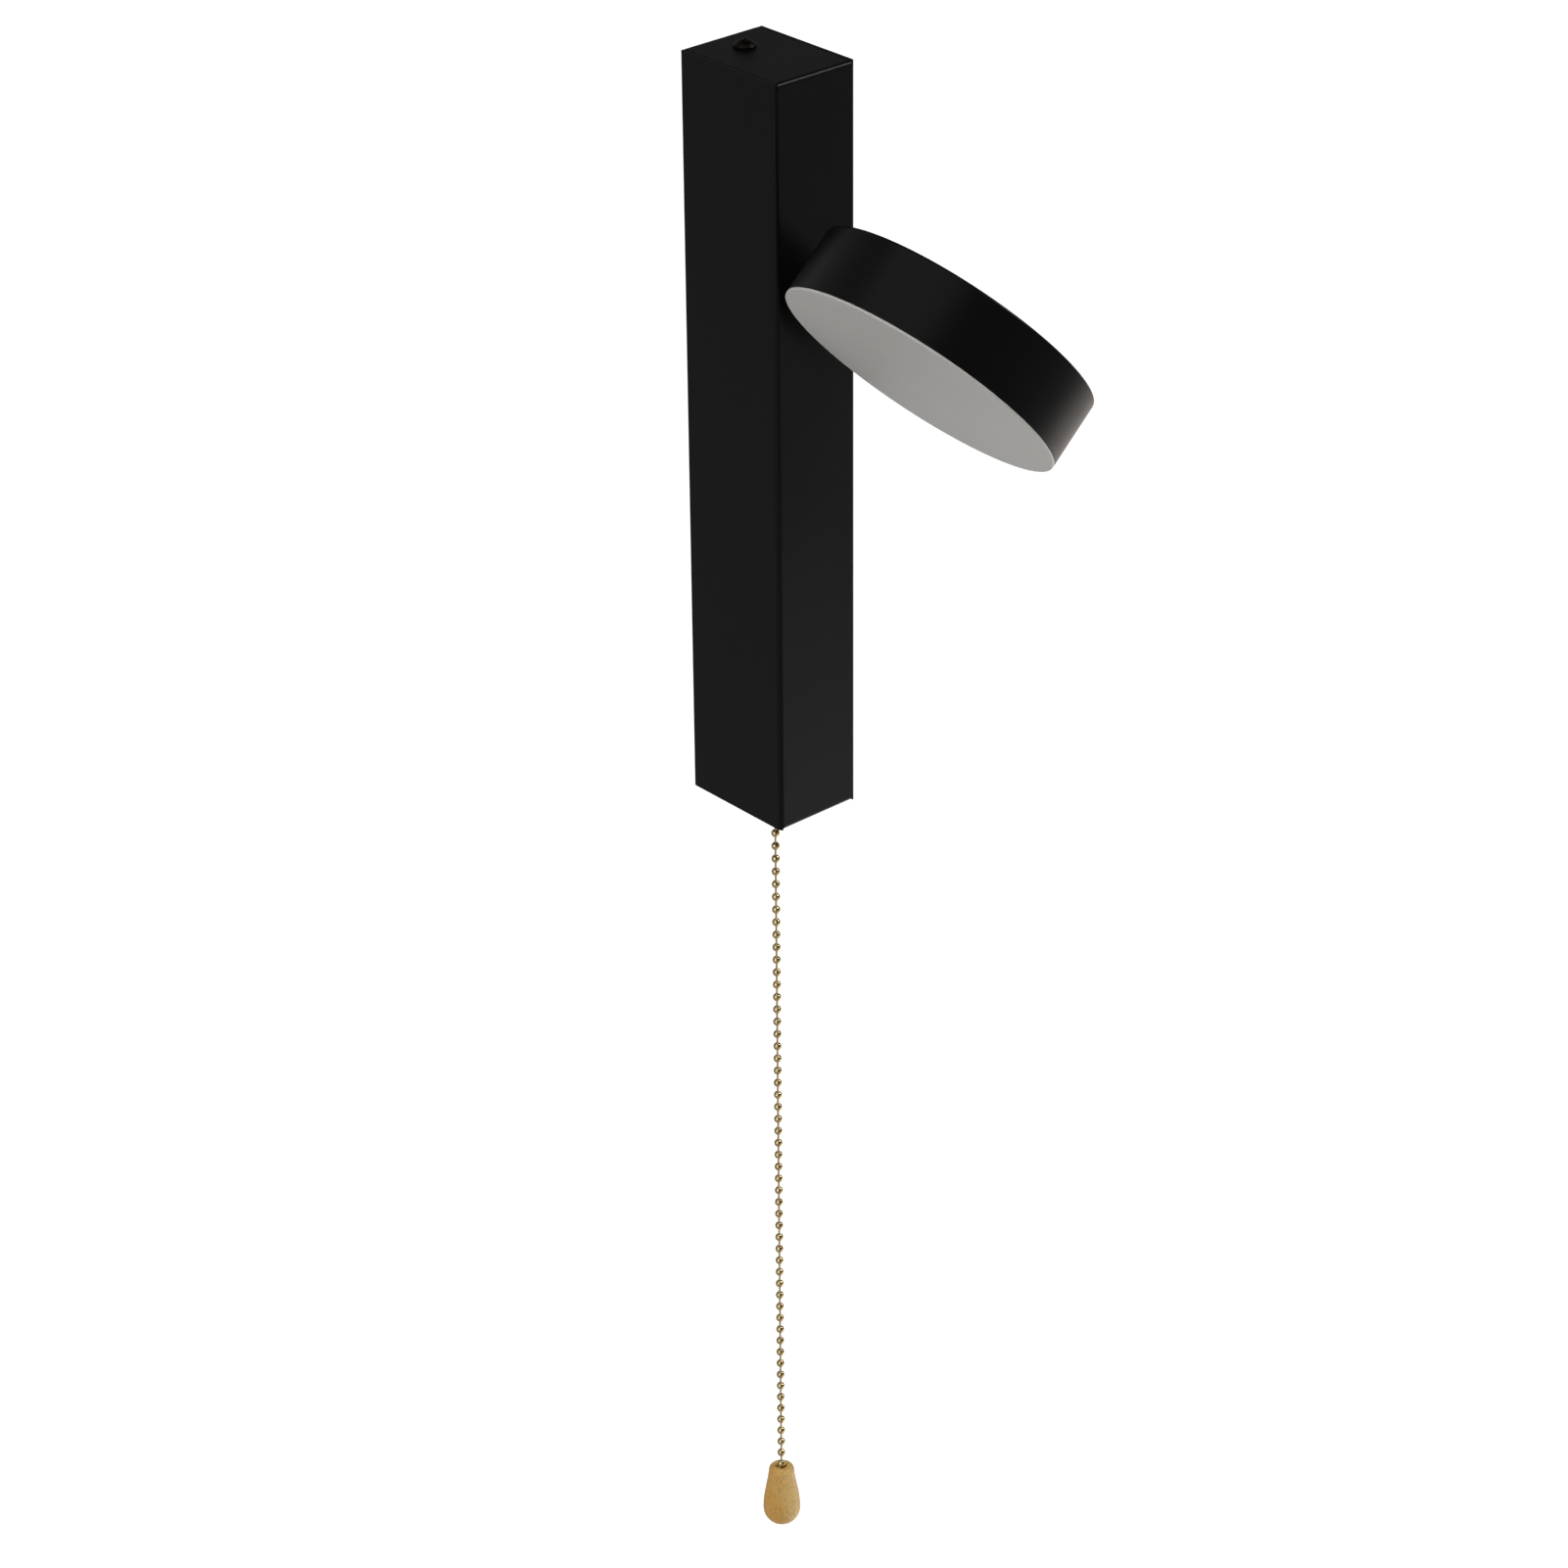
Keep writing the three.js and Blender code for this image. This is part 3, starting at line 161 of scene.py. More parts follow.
def rounded(corners: Sequence[tuple[float, float, float]], steps: int = 4, closed: bool = False) -> Array:
    """An outline whose corners are arcs.

    Each corner (a, b, radius) becomes an arc about the point that lies radius / sin(half the corner's angle)
    along its bisector, from one side's tangent point to the other's.

    Args:
        corners: Corner places and arc radii; a radius of 0 keeps the corner sharp.
        steps: Steps in each arc.
        closed: Whether the last corner joins the first.

    Returns:
        n x 2 points.
    """
    places = np.array([corner[:2] for corner in corners], float)
    pieces = []
    for k, (place, (_, _, radius)) in enumerate(zip(places, corners)):
        at_end = not closed and k in (0, len(corners) - 1)
        if radius == 0 or at_end:
            pieces.append(place[None])
            continue
        back = places[k - 1] - place
        ahead = places[(k + 1) % len(places)] - place
        back, ahead = back / np.linalg.norm(back), ahead / np.linalg.norm(ahead)
        half = math.acos(float(np.clip(back @ ahead, -1, 1))) / 2
        bisector = (back + ahead) / np.linalg.norm(back + ahead)
        centre = place + bisector * radius / math.sin(half)
        start = place + back * radius / math.tan(half) - centre
        end = place + ahead * radius / math.tan(half) - centre
        share = np.linspace(0, 1, steps + 1)[:, None]
        sweep = math.pi - 2 * half
        turned = np.sin((1 - share) * sweep) * start + np.sin(share * sweep) * end
        pieces.append(centre + turned / math.sin(sweep))
    return np.vstack(pieces)


def capped(rings: Array, poles: Array) -> Surface:
    """A closed surface through rings of points, closed at each end by a fan of triangles.

    Args:
        rings: n x sides x 3 points.
        poles: The middle of the first ring's fan and of the last one's.

    Returns:
        The surface, facing out.
    """
    count, sides = rings.shape[:2]
    here = np.arange(sides)
    ahead = np.roll(here, -1)
    start, last = count * sides, (count - 1) * sides
    fans = [
        np.stack([np.full(sides, start), ahead, here], axis=-1),
        np.stack([np.full(sides, start + 1), last + here, last + ahead], axis=-1),
    ]
    points = np.vstack([rings.reshape(-1, 3), poles])
    return Surface(points, grid_quads(count, sides, close_columns=True), np.vstack(fans)).outward()


def ring_shaped(rings: Array) -> Surface:
    """A closed surface through n x sides x 3 points, the last ring joined to the first."""
    quads = grid_quads(*rings.shape[:2], close_rows=True, close_columns=True)
    return Surface(rings.reshape(-1, 3), quads).outward()


def revolved(profile: Array, sides: int, closed: bool = False, swell: Array | None = None) -> Surface:
    """A surface of revolution about Z.

    A profile point (r, z) at angle f is (r cos f, r sin f, z). An open profile starts and ends on the axis,
    where its ring is one point with a fan of triangles; a closed profile makes a ring.

    Args:
        profile: n x 2 radii and heights.
        sides: Points in each ring.
        closed: Whether the profile's last point joins its first.
        swell: n x sides lengths added to the radii, for a thread or a knurl.

    Returns:
        The closed surface, facing out.
    """
    angle = np.linspace(0, 2 * np.pi, sides, endpoint=False)
    rings = profile if closed else profile[1:-1]
    radius = np.repeat(rings[:, :1], sides, axis=1)
    if swell is not None:
        radius = radius + (swell if closed else swell[1:-1])
    height = np.repeat(rings[:, 1:], sides, axis=1)
    points = np.stack([radius * np.cos(angle), radius * np.sin(angle), height], axis=-1)
    if closed:
        return ring_shaped(points)
    return capped(points, np.array([[0, 0, profile[0, 1]], [0, 0, profile[-1, 1]]]))


def swept(path: Array, radius: float, sides: int, upright: Sequence[float]) -> Surface:
    """A round bar along a path, each end closed by a cone 0.4 radii high.

    The section's centre is the path's point. Its first axis is the direction of travel crossed with
    `upright`, and its second is the first crossed with the direction of travel.

    Args:
        path: n x 3 points.
        radius: Bar radius.
        sides: Points round the section.
        upright: A direction that the path never runs along.

    Returns:
        The closed surface, facing out.
    """
    along = np.gradient(path, axis=0)
    along /= np.linalg.norm(along, axis=1, keepdims=True)
    first = np.cross(along, np.array(upright, float))
    first /= np.linalg.norm(first, axis=1, keepdims=True)
    second = np.cross(first, along)
    angle = np.linspace(0, 2 * np.pi, sides, endpoint=False)
    section = np.cos(angle)[None, :, None] * first[:, None] + np.sin(angle)[None, :, None] * second[:, None]
    tips = np.stack([path[0] - along[0] * radius * 0.4, path[-1] + along[-1] * radius * 0.4])
    return capped(path[:, None] + radius * section, tips)


@dataclass(frozen=True)
class Hole:
    """A round hole or a slot in a flat pattern.

    Args:
        u: Centre across the pattern.
        v: Centre along the pattern.
        radius: Radius of the round ends.
        reach_u: Half the straight part, across.
        reach_v: Half the straight part, along.
        border: Width of the square of cells round the hole, beyond its edge.
        steps: Cells on each side of that square; even.
    """

    u: float
    v: float
    radius: float
    reach_u: float = 0.0
    reach_v: float = 0.0
    border: float = 1.5
    steps: int = 8

    def lines(self) -> tuple[Array, Array]:
        """The grid lines that the hole's square needs, across and along.

        Returns:
            Both sets, in rising order.
        """
        half_u = self.radius + self.reach_u + self.border
        half_v = self.radius + self.reach_v + self.border
        share = np.linspace(-1, 1, self.steps + 1)
        return self.u + share * half_u, self.v + share * half_v

    def outline(self, shares_u: Array, shares_v: Array) -> Array:
        """The hole's edge, point for point with the square's border, from its low left corner to the right.

        At angle f a point is the centre plus radius (cos f, sin f) plus the reach towards its own quarter. A
        border point that is a share s along its side has the angle -135 + 90 (side + s) degrees.

        Args:
            shares_u: The border points' places along the low side, from 0 to 1.
            shares_v: The same along the right side.

        Returns:
            n x 2 points.
        """
        low, right = shares_u[:-1], 1 + shares_v[:-1]
        top, left = 3 - shares_u[:0:-1], 4 - shares_v[:0:-1]
        angle = np.radians(-135) + np.concatenate([low, right, top, left]) * np.pi / 2
        c, s = np.round(np.cos(angle), 9), np.round(np.sin(angle), 9)
        across = self.u + self.radius * c + self.reach_u * np.sign(c)
        return np.stack([across, self.v + self.radius * s + self.reach_v * np.sign(s)], axis=-1)


def flat_pattern(
    across: Sequence[float],
    along: Sequence[float],
    keep: Callable[[Array, Array], Array],
    holes: Sequence[Hole],
) -> tuple[Array, Array]:
    """A flat blank: a grid of cells without those left out, and with a ring of quads round each hole.

    Args:
        across: Grid lines across the blank.
        along: Grid lines along it.
        keep: Says for arrays of cell centres which cells are part of the blank.
        holes: The holes.

    Returns:
        n x 2 points (u, v) and m x 4 quads, counter-clockwise.
    """
    us = np.unique(np.round(np.concatenate([across] + [hole.lines()[0] for hole in holes]), 6))
    vs = np.unique(np.round(np.concatenate([along] + [hole.lines()[1] for hole in holes]), 6))
    points = np.stack(np.meshgrid(us, vs), axis=-1).reshape(-1, 2)
    quads = grid_quads(len(vs), len(us))
    u, v = points[quads].mean(axis=1).T
    mask = keep(u, v)
    rings, edges = [], []
    total = len(points)
    for hole in holes:
        lines_u, lines_v = (np.round(lines, 6) for lines in hole.lines())
        inside = (u > lines_u[0]) & (u < lines_u[-1]) & (v > lines_v[0]) & (v < lines_v[-1])
        mask &= ~inside
        i = np.arange(np.searchsorted(us, lines_u[0]), np.searchsorted(us, lines_u[-1]) + 1)
        j = np.arange(np.searchsorted(vs, lines_v[0]), np.searchsorted(vs, lines_v[-1]) + 1)
        border = np.concatenate(
            [
                j[0] * len(us) + i[:-1],
                j[:-1] * len(us) + i[-1],
                j[-1] * len(us) + i[:0:-1],
                j[:0:-1] * len(us) + i[0],
            ]
        )
        edge = total + np.arange(len(border))
        rings.append(np.stack([border, np.roll(border, -1), np.roll(edge, -1), edge], axis=-1))
        shares = [(lines - lines[0]) / (lines[-1] - lines[0]) for lines in (us[i], vs[j])]
        edges.append(hole.outline(*shares))
        total += len(border)
    points = np.vstack([points, *edges])
    quads = np.vstack([quads[mask], *rings])
    used, numbers = np.unique(quads, return_inverse=True)
    return points[used], numbers.reshape(-1, 4)


class Shading(Enum):
    """How the faces of a mesh meet to the eye."""

    SOFT = 180.0
    CRISP = 35.0


def make_piece(name: str, surface: Surface, shading: Shading = Shading.CRISP) -> bpy.types.Object:
    """A mesh object at the origin from a surface in millimetres.

    Args:
        name: The piece's name.
        surface: Its points and faces.
        shading: Edges sharper than its angle, in degrees, show as edges.

    Returns:
        The object, linked to the scene.
    """
    mesh = bpy.data.meshes.new(name)
    mesh.from_pydata((surface.points * MM).tolist(), [], surface.quads.tolist() + surface.tris.tolist())
    mesh.validate()
    mesh.polygons.foreach_set("use_smooth", np.ones(len(mesh.polygons), bool))
    if shading is not Shading.SOFT:
        mesh.set_sharp_from_angle(angle=math.radians(shading.value))
    piece = bpy.data.objects.new(name, mesh)
    bpy.context.scene.collection.objects.link(piece)
    return piece


def even_shading(piece: bpy.types.Object) -> None:
    """Lets the large faces set the normals, so that flats stay flat beside a small rounded edge.

    Args:
        piece: The piece to be shaded.
    """
    weighted = piece.modifiers.new("flats lead", "WEIGHTED_NORMAL")
    weighted.keep_sharp = True
    weighted.weight = 100


def thicken(piece: bpy.types.Object, sheet: float, edge: float) -> None:
    """Makes a folded skin into sheet metal.

    Args:
        piece: The skin, facing out.
        sheet: Thickness in millimetres, added on the inside.
        edge: Rounding of the cut edges in millimetres.
    """
    wall = piece.modifiers.new("sheet", "SOLIDIFY")
    wall.thickness = sheet * MM
    wall.offset = -1.0
    wall.use_even_offset = True
    rounding = piece.modifiers.new("edges", "BEVEL")
    rounding.width = edge * MM
    rounding.segments = 2
    rounding.limit_method = "ANGLE"
    rounding.angle_limit = math.radians(50)
    even_shading(piece)


def box_mm(node: str) -> tuple[Array, Array]:
    """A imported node's lowest and highest corners in millimetres."""
    low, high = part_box(node)
    return np.array(low) / MM, np.array(high) / MM


def middle_mm(node: str) -> tuple[float, float, float]:
    """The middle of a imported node's box in millimetres."""
    return tuple(float(place) for place in np.add(*box_mm(node)) / 2)


def settle(piece: bpy.types.Object, body: str, materials: Materials, slot: str, *nodes: str) -> None:
    """Dresses a piece and hands it over to the frame.

    Args:
        piece: The finished piece.
        body: The body that it rides on.
        materials: The finished materials by slot.
        slot: The record's material slot.
        nodes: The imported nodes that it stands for.
    """
    piece.data.materials.append(materials[slot])
    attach(piece, body)
    if nodes:
        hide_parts(*nodes)
    log.info("%s rides on %s, %d faces", piece.name, body, len(piece.data.polygons))


# ---------------------------------------------------------------------------------------------
# finishes
# ---------------------------------------------------------------------------------------------


def linear(code: str) -> tuple[float, float, float, float]:
    """An sRGB hex colour as linear RGBA: ((c + 0.055) / 1.055) ^ 2.4 above 0.04045, c / 12.92 below.

    Args:
        code: The colour, as "#rrggbb".

    Returns:
        Red, green, blue and 1.
    """
    channels = np.array([int(code[k : k + 2], 16) for k in (1, 3, 5)]) / 255
    turned = np.where(channels <= 0.04045, channels / 12.92, ((channels + 0.055) / 1.055) ** 2.4)
    return (*turned.tolist(), 1.0)


def put(tree: Tree, kind: str, inputs: Mapping[object, object], **settings: object) -> bpy.types.Node:
    """Adds a node to a tree.

    Args:
        tree: The material's node tree.
        kind: The node's type name.
        inputs: Input name or number to a value, or to the output socket that feeds it.
        settings: The node's own properties.

    Returns:
        The node.
    """
    node = tree.nodes.new(kind)
    for name, value in settings.items():
        setattr(node, name, value)
    for name, value in inputs.items():
        if isinstance(value, bpy.types.NodeSocket):
            tree.links.new(value, node.inputs[name])
        else:
            node.inputs[name].default_value = value
    return node


def noise(tree: Tree, place: Socket, size: float, detail: float = 2.0, roughness: float = 0.5) -> Socket:
    """Noise from 0 to 1 whose patches are about `size` millimetres wide."""
    inputs = {"Vector": place, "Scale": 1 / (size * MM), "Detail": detail, "Roughness": roughness}
    return put(tree, "ShaderNodeTexNoise", inputs).outputs["Fac"]


def remapped(tree: Tree, value: Socket, old: Sequence[float], new: Sequence[float] = (0.0, 1.0)) -> Socket:
    """A value taken from one range to another, and held at the new range's ends."""
    inputs = {"Value": value, "From Min": old[0], "From Max": old[1], "To Min": new[0], "To Max": new[1]}
    return put(tree, "ShaderNodeMapRange", inputs).outputs["Result"]


def mixed(tree: Tree, share: Socket, first: object, second: object) -> Socket:
    """Two colours mixed: the first where the share is 0, the second where it is 1."""
    inputs = {"Factor": share, "A": first, "B": second}
    return put(tree, "ShaderNodeMix", inputs, data_type="RGBA").outputs["Result"]


def dimmed(colour: Sequence[float], share: float) -> tuple[float, float, float, float]:
    """A linear colour times a share."""
    return (*(channel * share for channel in colour[:3]), 1.0)


def emboss(tree: Tree, shader: bpy.types.Node, height: Socket, strength: float, depth: float) -> None:
    """Turns a height from 0 to 1 into bumps `depth` millimetres deep on the shader."""
    bump = put(tree, "ShaderNodeBump", {"Height": height, "Strength": strength, "Distance": depth * MM})
    tree.links.new(bump.outputs["Normal"], shader.inputs["Normal"])


@dataclass(frozen=True)
class Finish:
    """A finish: what the real material is, and the sockets that hold the same value all over.

    Args:
        name: The material's name.
        colour: Main colour, sRGB hex.
        roughness: Roughness of the shader.
        metallic: 1 for a bare metal.
    """

    name: str
    colour: str
    roughness: float
    metallic: float = 0.0

    def build(self) -> bpy.types.Material:
        """Makes the material: a Principled shader with this finish's constants, then its own pattern.

        Returns:
            The material.
        """
        material = bpy.data.materials.new(self.name)
        material.use_nodes = True
        tree = material.node_tree
        shader = tree.nodes["Principled BSDF"]
        shader.inputs["Base Color"].default_value = linear(self.colour)
        shader.inputs["Roughness"].default_value = self.roughness
        shader.inputs["Metallic"].default_value = self.metallic
        self.pattern(tree, shader, put(tree, "ShaderNodeTexCoord", {}).outputs["Object"])
        return material

    def pattern(self, tree: Tree, shader: bpy.types.Node, place: Socket) -> None:
        """Adds what varies over the surface; a plain finish has none."""


@dataclass(frozen=True)
class PowderCoat(Finish):
    """Matt powder paint, baked on: tiny grains flow into a fine, even orange peel.

    Args:
        grain: Size of a bump in millimetres; real grain is near 0.2, drawn coarser so that it shows.
        depth: Height of the bumps in millimetres.
        specular: The matt paint's gloss level, below plain paint's 0.5.
        sheen_patch: Size in millimetres of the wide, faint changes in gloss.
    """

    grain: float = 0.55
    depth: float = 0.012
    specular: float = 0.13
    sheen_patch: float = 45.0

    def pattern(self, tree: Tree, shader: bpy.types.Node, place: Socket) -> None:
        """Bump from fine noise, and roughness that drifts slowly over the sheet.

        Args:
            tree: The material's node tree.
            shader: Its Principled shader.
            place: The piece's own coordinates.
        """
        shader.inputs["Specular IOR Level"].default_value = self.specular
        drift = noise(tree, place, self.sheen_patch, detail=3.0)
        gloss = remapped(tree, drift, (0.3, 0.7), (self.roughness - 0.03, self.roughness + 0.04))
        tree.links.new(gloss, shader.inputs["Roughness"])
        emboss(tree, shader, noise(tree, place, self.grain, detail=4.0), 0.5, self.depth)


@dataclass(frozen=True)
class Moulded(Finish):
    """Moulded plastic or rubber: a fine spark-eroded grain from the tool, and a faint change of shade.

    Args:
        grain: Size of the grain in millimetres.
        depth: Its height in millimetres.
        cloud: Size of the changes in shade in millimetres.
    """

    grain: float = 0.5
    depth: float = 0.01
    cloud: float = 12.0

    def pattern(self, tree: Tree, shader: bpy.types.Node, place: Socket) -> None:
        """Cellular bump at the grain's size, and a colour that drifts by a few percent.

        Args:
            tree: The material's node tree.
            shader: Its Principled shader.
            place: The piece's own coordinates.
        """
        base = linear(self.colour)
        shade = mixed(tree, noise(tree, place, self.cloud), dimmed(base, 0.9), base)
        tree.links.new(shade, shader.inputs["Base Color"])
        pits = put(tree, "ShaderNodeTexVoronoi", {"Vector": place, "Scale": 1 / (self.grain * MM)})
        emboss(tree, shader, pits.outputs["Distance"], 0.4, self.depth)


@dataclass(frozen=True)
class BareMetal(Finish):
    """Rolled, turned or plated metal: fine lines from the tool, and tarnish in faint patches.

    Args:
        dark: Colour of the tarnish, sRGB hex.
        line: Spacing of the tool lines in millimetres.
        stretch: How much longer the lines are than their spacing, along X, Y and Z.
        depth: Depth of the lines in millimetres.
        patch: Size of the tarnish patches in millimetres.
    """

    metallic: float = 1.0
    dark: str = "#6f6f70"
    line: float = 0.3
    stretch: tuple[float, float, float] = (1.0, 1.0, 1.0)
    depth: float = 0.004
    patch: float = 3.0

    def pattern(self, tree: Tree, shader: bpy.types.Node, place: Socket) -> None:
        """Stretched noise as bump and roughness, and a slow mix of the two colours.

        Args:
            tree: The material's node tree.
            shader: Its Principled shader.
            place: The piece's own coordinates.
        """
        drawn = put(tree, "ShaderNodeMapping", {"Vector": place, "Scale": tuple(1 / s for s in self.stretch)})
        lines = noise(tree, drawn.outputs["Vector"], self.line, detail=3.0)
        rough = remapped(tree, lines, (0.25, 0.75), (self.roughness * 0.8, self.roughness * 1.25))
        worn = remapped(tree, noise(tree, place, self.patch, detail=4.0), (0.5, 0.8), (0.0, 0.5))
        shade = mixed(tree, worn, linear(self.colour), linear(self.dark))
        tree.links.new(shade, shader.inputs["Base Color"])
        tree.links.new(rough, shader.inputs["Roughness"])
        emboss(tree, shader, lines, 0.5, self.depth)


@dataclass(frozen=True)
class OpalSheet(Finish):
    """Opal acrylic: light spreads under its surface, so that it looks milky, with a satin skin.

    Args:
        spread: How far light travels inside it, in millimetres.
        cloud: Size of the changes in shade in millimetres.
        frost: Size of the skin's texture in millimetres.
    """

    spread: float = 1.5
    cloud: float = 22.0
    frost: float = 0.6

    def pattern(self, tree: Tree, shader: bpy.types.Node, place: Socket) -> None:
        """Scattering under the skin, a faint cloud in the colour, and a matt micro-texture.

        Args:
            tree: The material's node tree.
            shader: Its Principled shader.
            place: The piece's own coordinates.
        """
        shader.inputs["Subsurface Weight"].default_value = 0.35
        shader.inputs["Subsurface Radius"].default_value = (1.0, 0.9, 0.8)
        shader.inputs["Subsurface Scale"].default_value = self.spread * MM
        base = linear(self.colour)
        shade = mixed(tree, noise(tree, place, self.cloud), dimmed(base, 0.94), base)
        tree.links.new(shade, shader.inputs["Base Color"])
        emboss(tree, shader, noise(tree, place, self.frost), 0.3, 0.005)


@dataclass(frozen=True)
class TurnedWood(Finish):
    """Pale close-grained wood, turned and lightly lacquered: soft growth bands, and pores along the grain.

    Args:
        dark: Colour of the late growth, sRGB hex.
        fleck: Colour of the pores, sRGB hex.
        ring: Spacing of the growth bands in millimetres.
        fibre: Width of a fibre in millimetres.
    """

    dark: str = "#b98a45"
    fleck: str = "#8a6230"
    ring: float = 2.6
    fibre: float = 0.5

    def pattern(self, tree: Tree, shader: bpy.types.Node, place: Socket) -> None:
        """Bands from a bent wave across the grain; fibres and pores from noise drawn out along Z.

        Args:
            tree: The material's node tree.
            shader: Its Principled shader.
            place: The piece's own coordinates.
        """
        shader.inputs["Coat Weight"].default_value = 0.15
        shader.inputs["Coat Roughness"].default_value = 0.35
        wave = {"Vector": place, "Scale": 0.05 / (self.ring * MM)}
        wave |= {"Distortion": 3.5, "Detail": 2.0, "Detail Scale": 1.2}
        bands = put(tree, "ShaderNodeTexWave", wave, wave_type="BANDS", bands_direction="X").outputs["Fac"]
        band_share = remapped(tree, bands, (0.1, 0.9), (0.0, 0.7))
        growth = mixed(tree, band_share, linear(self.colour), linear(self.dark))
        along = put(tree, "ShaderNodeMapping", {"Vector": place, "Scale": (1.0, 1.0, 0.3)})
        fibres = noise(tree, along.outputs["Vector"], self.fibre, detail=4.0, roughness=0.6)
        pores = remapped(tree, fibres, (0.48, 0.75), (0.0, 0.65))
        shade = mixed(tree, pores, growth, linear(self.fleck))
        tree.links.new(shade, shader.inputs["Base Color"])
        emboss(tree, shader, fibres, 0.35, 0.03)


@dataclass(frozen=True)
class CircuitBoard(Finish):
    """Glass-fibre board under solder mask: another shade where the copper runs.

    Args:
        track: Colour over the tracks, sRGB hex.
        pitch: Spacing of the tracks in millimetres.
        copper: Thickness of the copper in millimetres.
    """

    track: str = "#2c7445"
    pitch: float = 2.5
    copper: float = 0.035

    def pattern(self, tree: Tree, shader: bpy.types.Node, place: Socket) -> None:
        """Tracks as the edges of nearly square cells, raised by the copper's thickness.

        Args:
            tree: The material's node tree.
            shader: Its Principled shader.
            place: The piece's own coordinates.
        """
        grid = {"Vector": place, "Scale": 1 / (self.pitch * MM), "Randomness": 0.35}
        cells = put(tree, "ShaderNodeTexVoronoi", grid, distance="MANHATTAN").outputs["Distance"]
        tracks = remapped(tree, cells, (0.45, 0.5))
        shade = mixed(tree, tracks, linear(self.colour), linear(self.track))
        tree.links.new(shade, shader.inputs["Base Color"])
        emboss(tree, shader, tracks, 0.6, self.copper)


@dataclass(frozen=True)
class StudioPaper(Finish):
    """Plain white seamless paper that lies far below the lamp, lit evenly enough to show no horizon.

    Args:
        glow: Strength of its own even light.
    """

    glow: float = 1.0

    def pattern(self, tree: Tree, shader: bpy.types.Node, place: Socket) -> None:
        """Its own even light, as from lamps that only reach the paper."""
        shader.inputs["Emission Color"].default_value = linear("#ffffff")
        shader.inputs["Emission Strength"].default_value = self.glow


def shelf() -> Materials:
    """Every slot of the record with its finished material."""
    finishes: dict[str, Finish] = {
        # Polyester powder, matt black: hardly any gloss, soft at the bends.
        "black_powder_coat": PowderCoat("black_powder_coat", "#0e0c0c", 0.34),
        # Oxidised steel, oiled: a metal's dark shine beside the matt paint.
        "black_screw": BareMetal("black_oxide_steel", "#1f1c1b", 0.42, dark="#2c2623"),
        # Zinc on mild steel: bluish grey, with marks along the strip.
        "zinc_plated_steel": BareMetal(
            "zinc_plated_steel", "#b4b8bb", 0.38, dark="#8d9296", line=0.8, stretch=(1, 1, 6), patch=9.0
        ),
        # Cold-drawn steel, bright.
        "spring_steel": BareMetal("bright_drawn_steel", "#a3a6a9", 0.28, dark="#77797c", line=0.25),
        # Opal acrylic, unlit: a warm pale grey.
        "opal_diffuser": OpalSheet("opal_acrylic", "#cfcdc9", 0.42),
        # Brass bead chain, lacquered: bright, pale gold.
        "brass_chain": BareMetal(
            "polished_brass_chain", "#cfba8c", 0.18, dark="#9c8450", line=0.4, depth=0.002
        ),
        # Turned brass: fine lines round the axis.
        "brass": BareMetal("turned_brass", "#cfa75a", 0.24, dark="#99733a", line=0.2, stretch=(5, 5, 1)),
        # Close-grained wood, turned, under a thin lacquer.
        "turned_wood": TurnedWood("lacquered_maple", "#f6cc7c", 0.5, dark="#dca03c", fleck="#94703a"),
        # Polyamide and polycarbonate mouldings.
        "white_plastic": Moulded("white_moulded_nylon", "#e6e4de", 0.45),
        "dark_plastic": Moulded("black_moulded_nylon", "#26262a", 0.45),
        "cream_plastic": Moulded("cream_moulded_polyamide", "#d9d2be", 0.42),
        "driver_dark": Moulded("shrink_sleeve_black", "#2b2b30", 0.35, grain=0.9),
        "circuit_board": CircuitBoard("green_circuit_board", "#1f5a34", 0.4),
        # White solder mask on aluminium.
        "aluminium_board": CircuitBoard("white_aluminium_board", "#ecece8", 0.4, track="#dcdcd6", pitch=6.0),
        # Synthetic rubber: matt, a little dusty.
        "black_rubber": Moulded("black_rubber", "#202020", 0.8, grain=0.7, depth=0.02),
        # PVC insulation: smooth, with a soft shine.
        "wire_brown": Moulded("brown_pvc", "#6b3a1e", 0.35, grain=1.4, depth=0.004),
        "wire_black": Moulded("black_pvc", "#2b2b2b", 0.35, grain=1.4, depth=0.004),
        "wire_blue": Moulded("blue_pvc", "#2d57a8", 0.35, grain=1.4, depth=0.004),
        "wire_green": Moulded("green_pvc", "#5c9a2e", 0.35, grain=1.4, depth=0.004),
        "wire_grey": Moulded("grey_pvc", "#d8d8d8", 0.35, grain=1.4, depth=0.004),
    }
    return {slot: finish.build() for slot, finish in finishes.items()}


# ---------------------------------------------------------------------------------------------
# studio
# ---------------------------------------------------------------------------------------------


@dataclass(frozen=True)
class Softbox:
    """A square soft lamp that faces the lamp's middle.

    Args:
        name: The light's name.
        azimuth: Degrees to the right of someone facing the wall.
        elevation: Degrees above level.
        distance: Metres from the middle of the housing.
        size: Side in metres.
        power: Watts.
        tint: Colour, sRGB hex.
    """

    name: str
    azimuth: float
    elevation: float
    distance: float
    size: float
    power: float
    tint: str = "#ffffff"


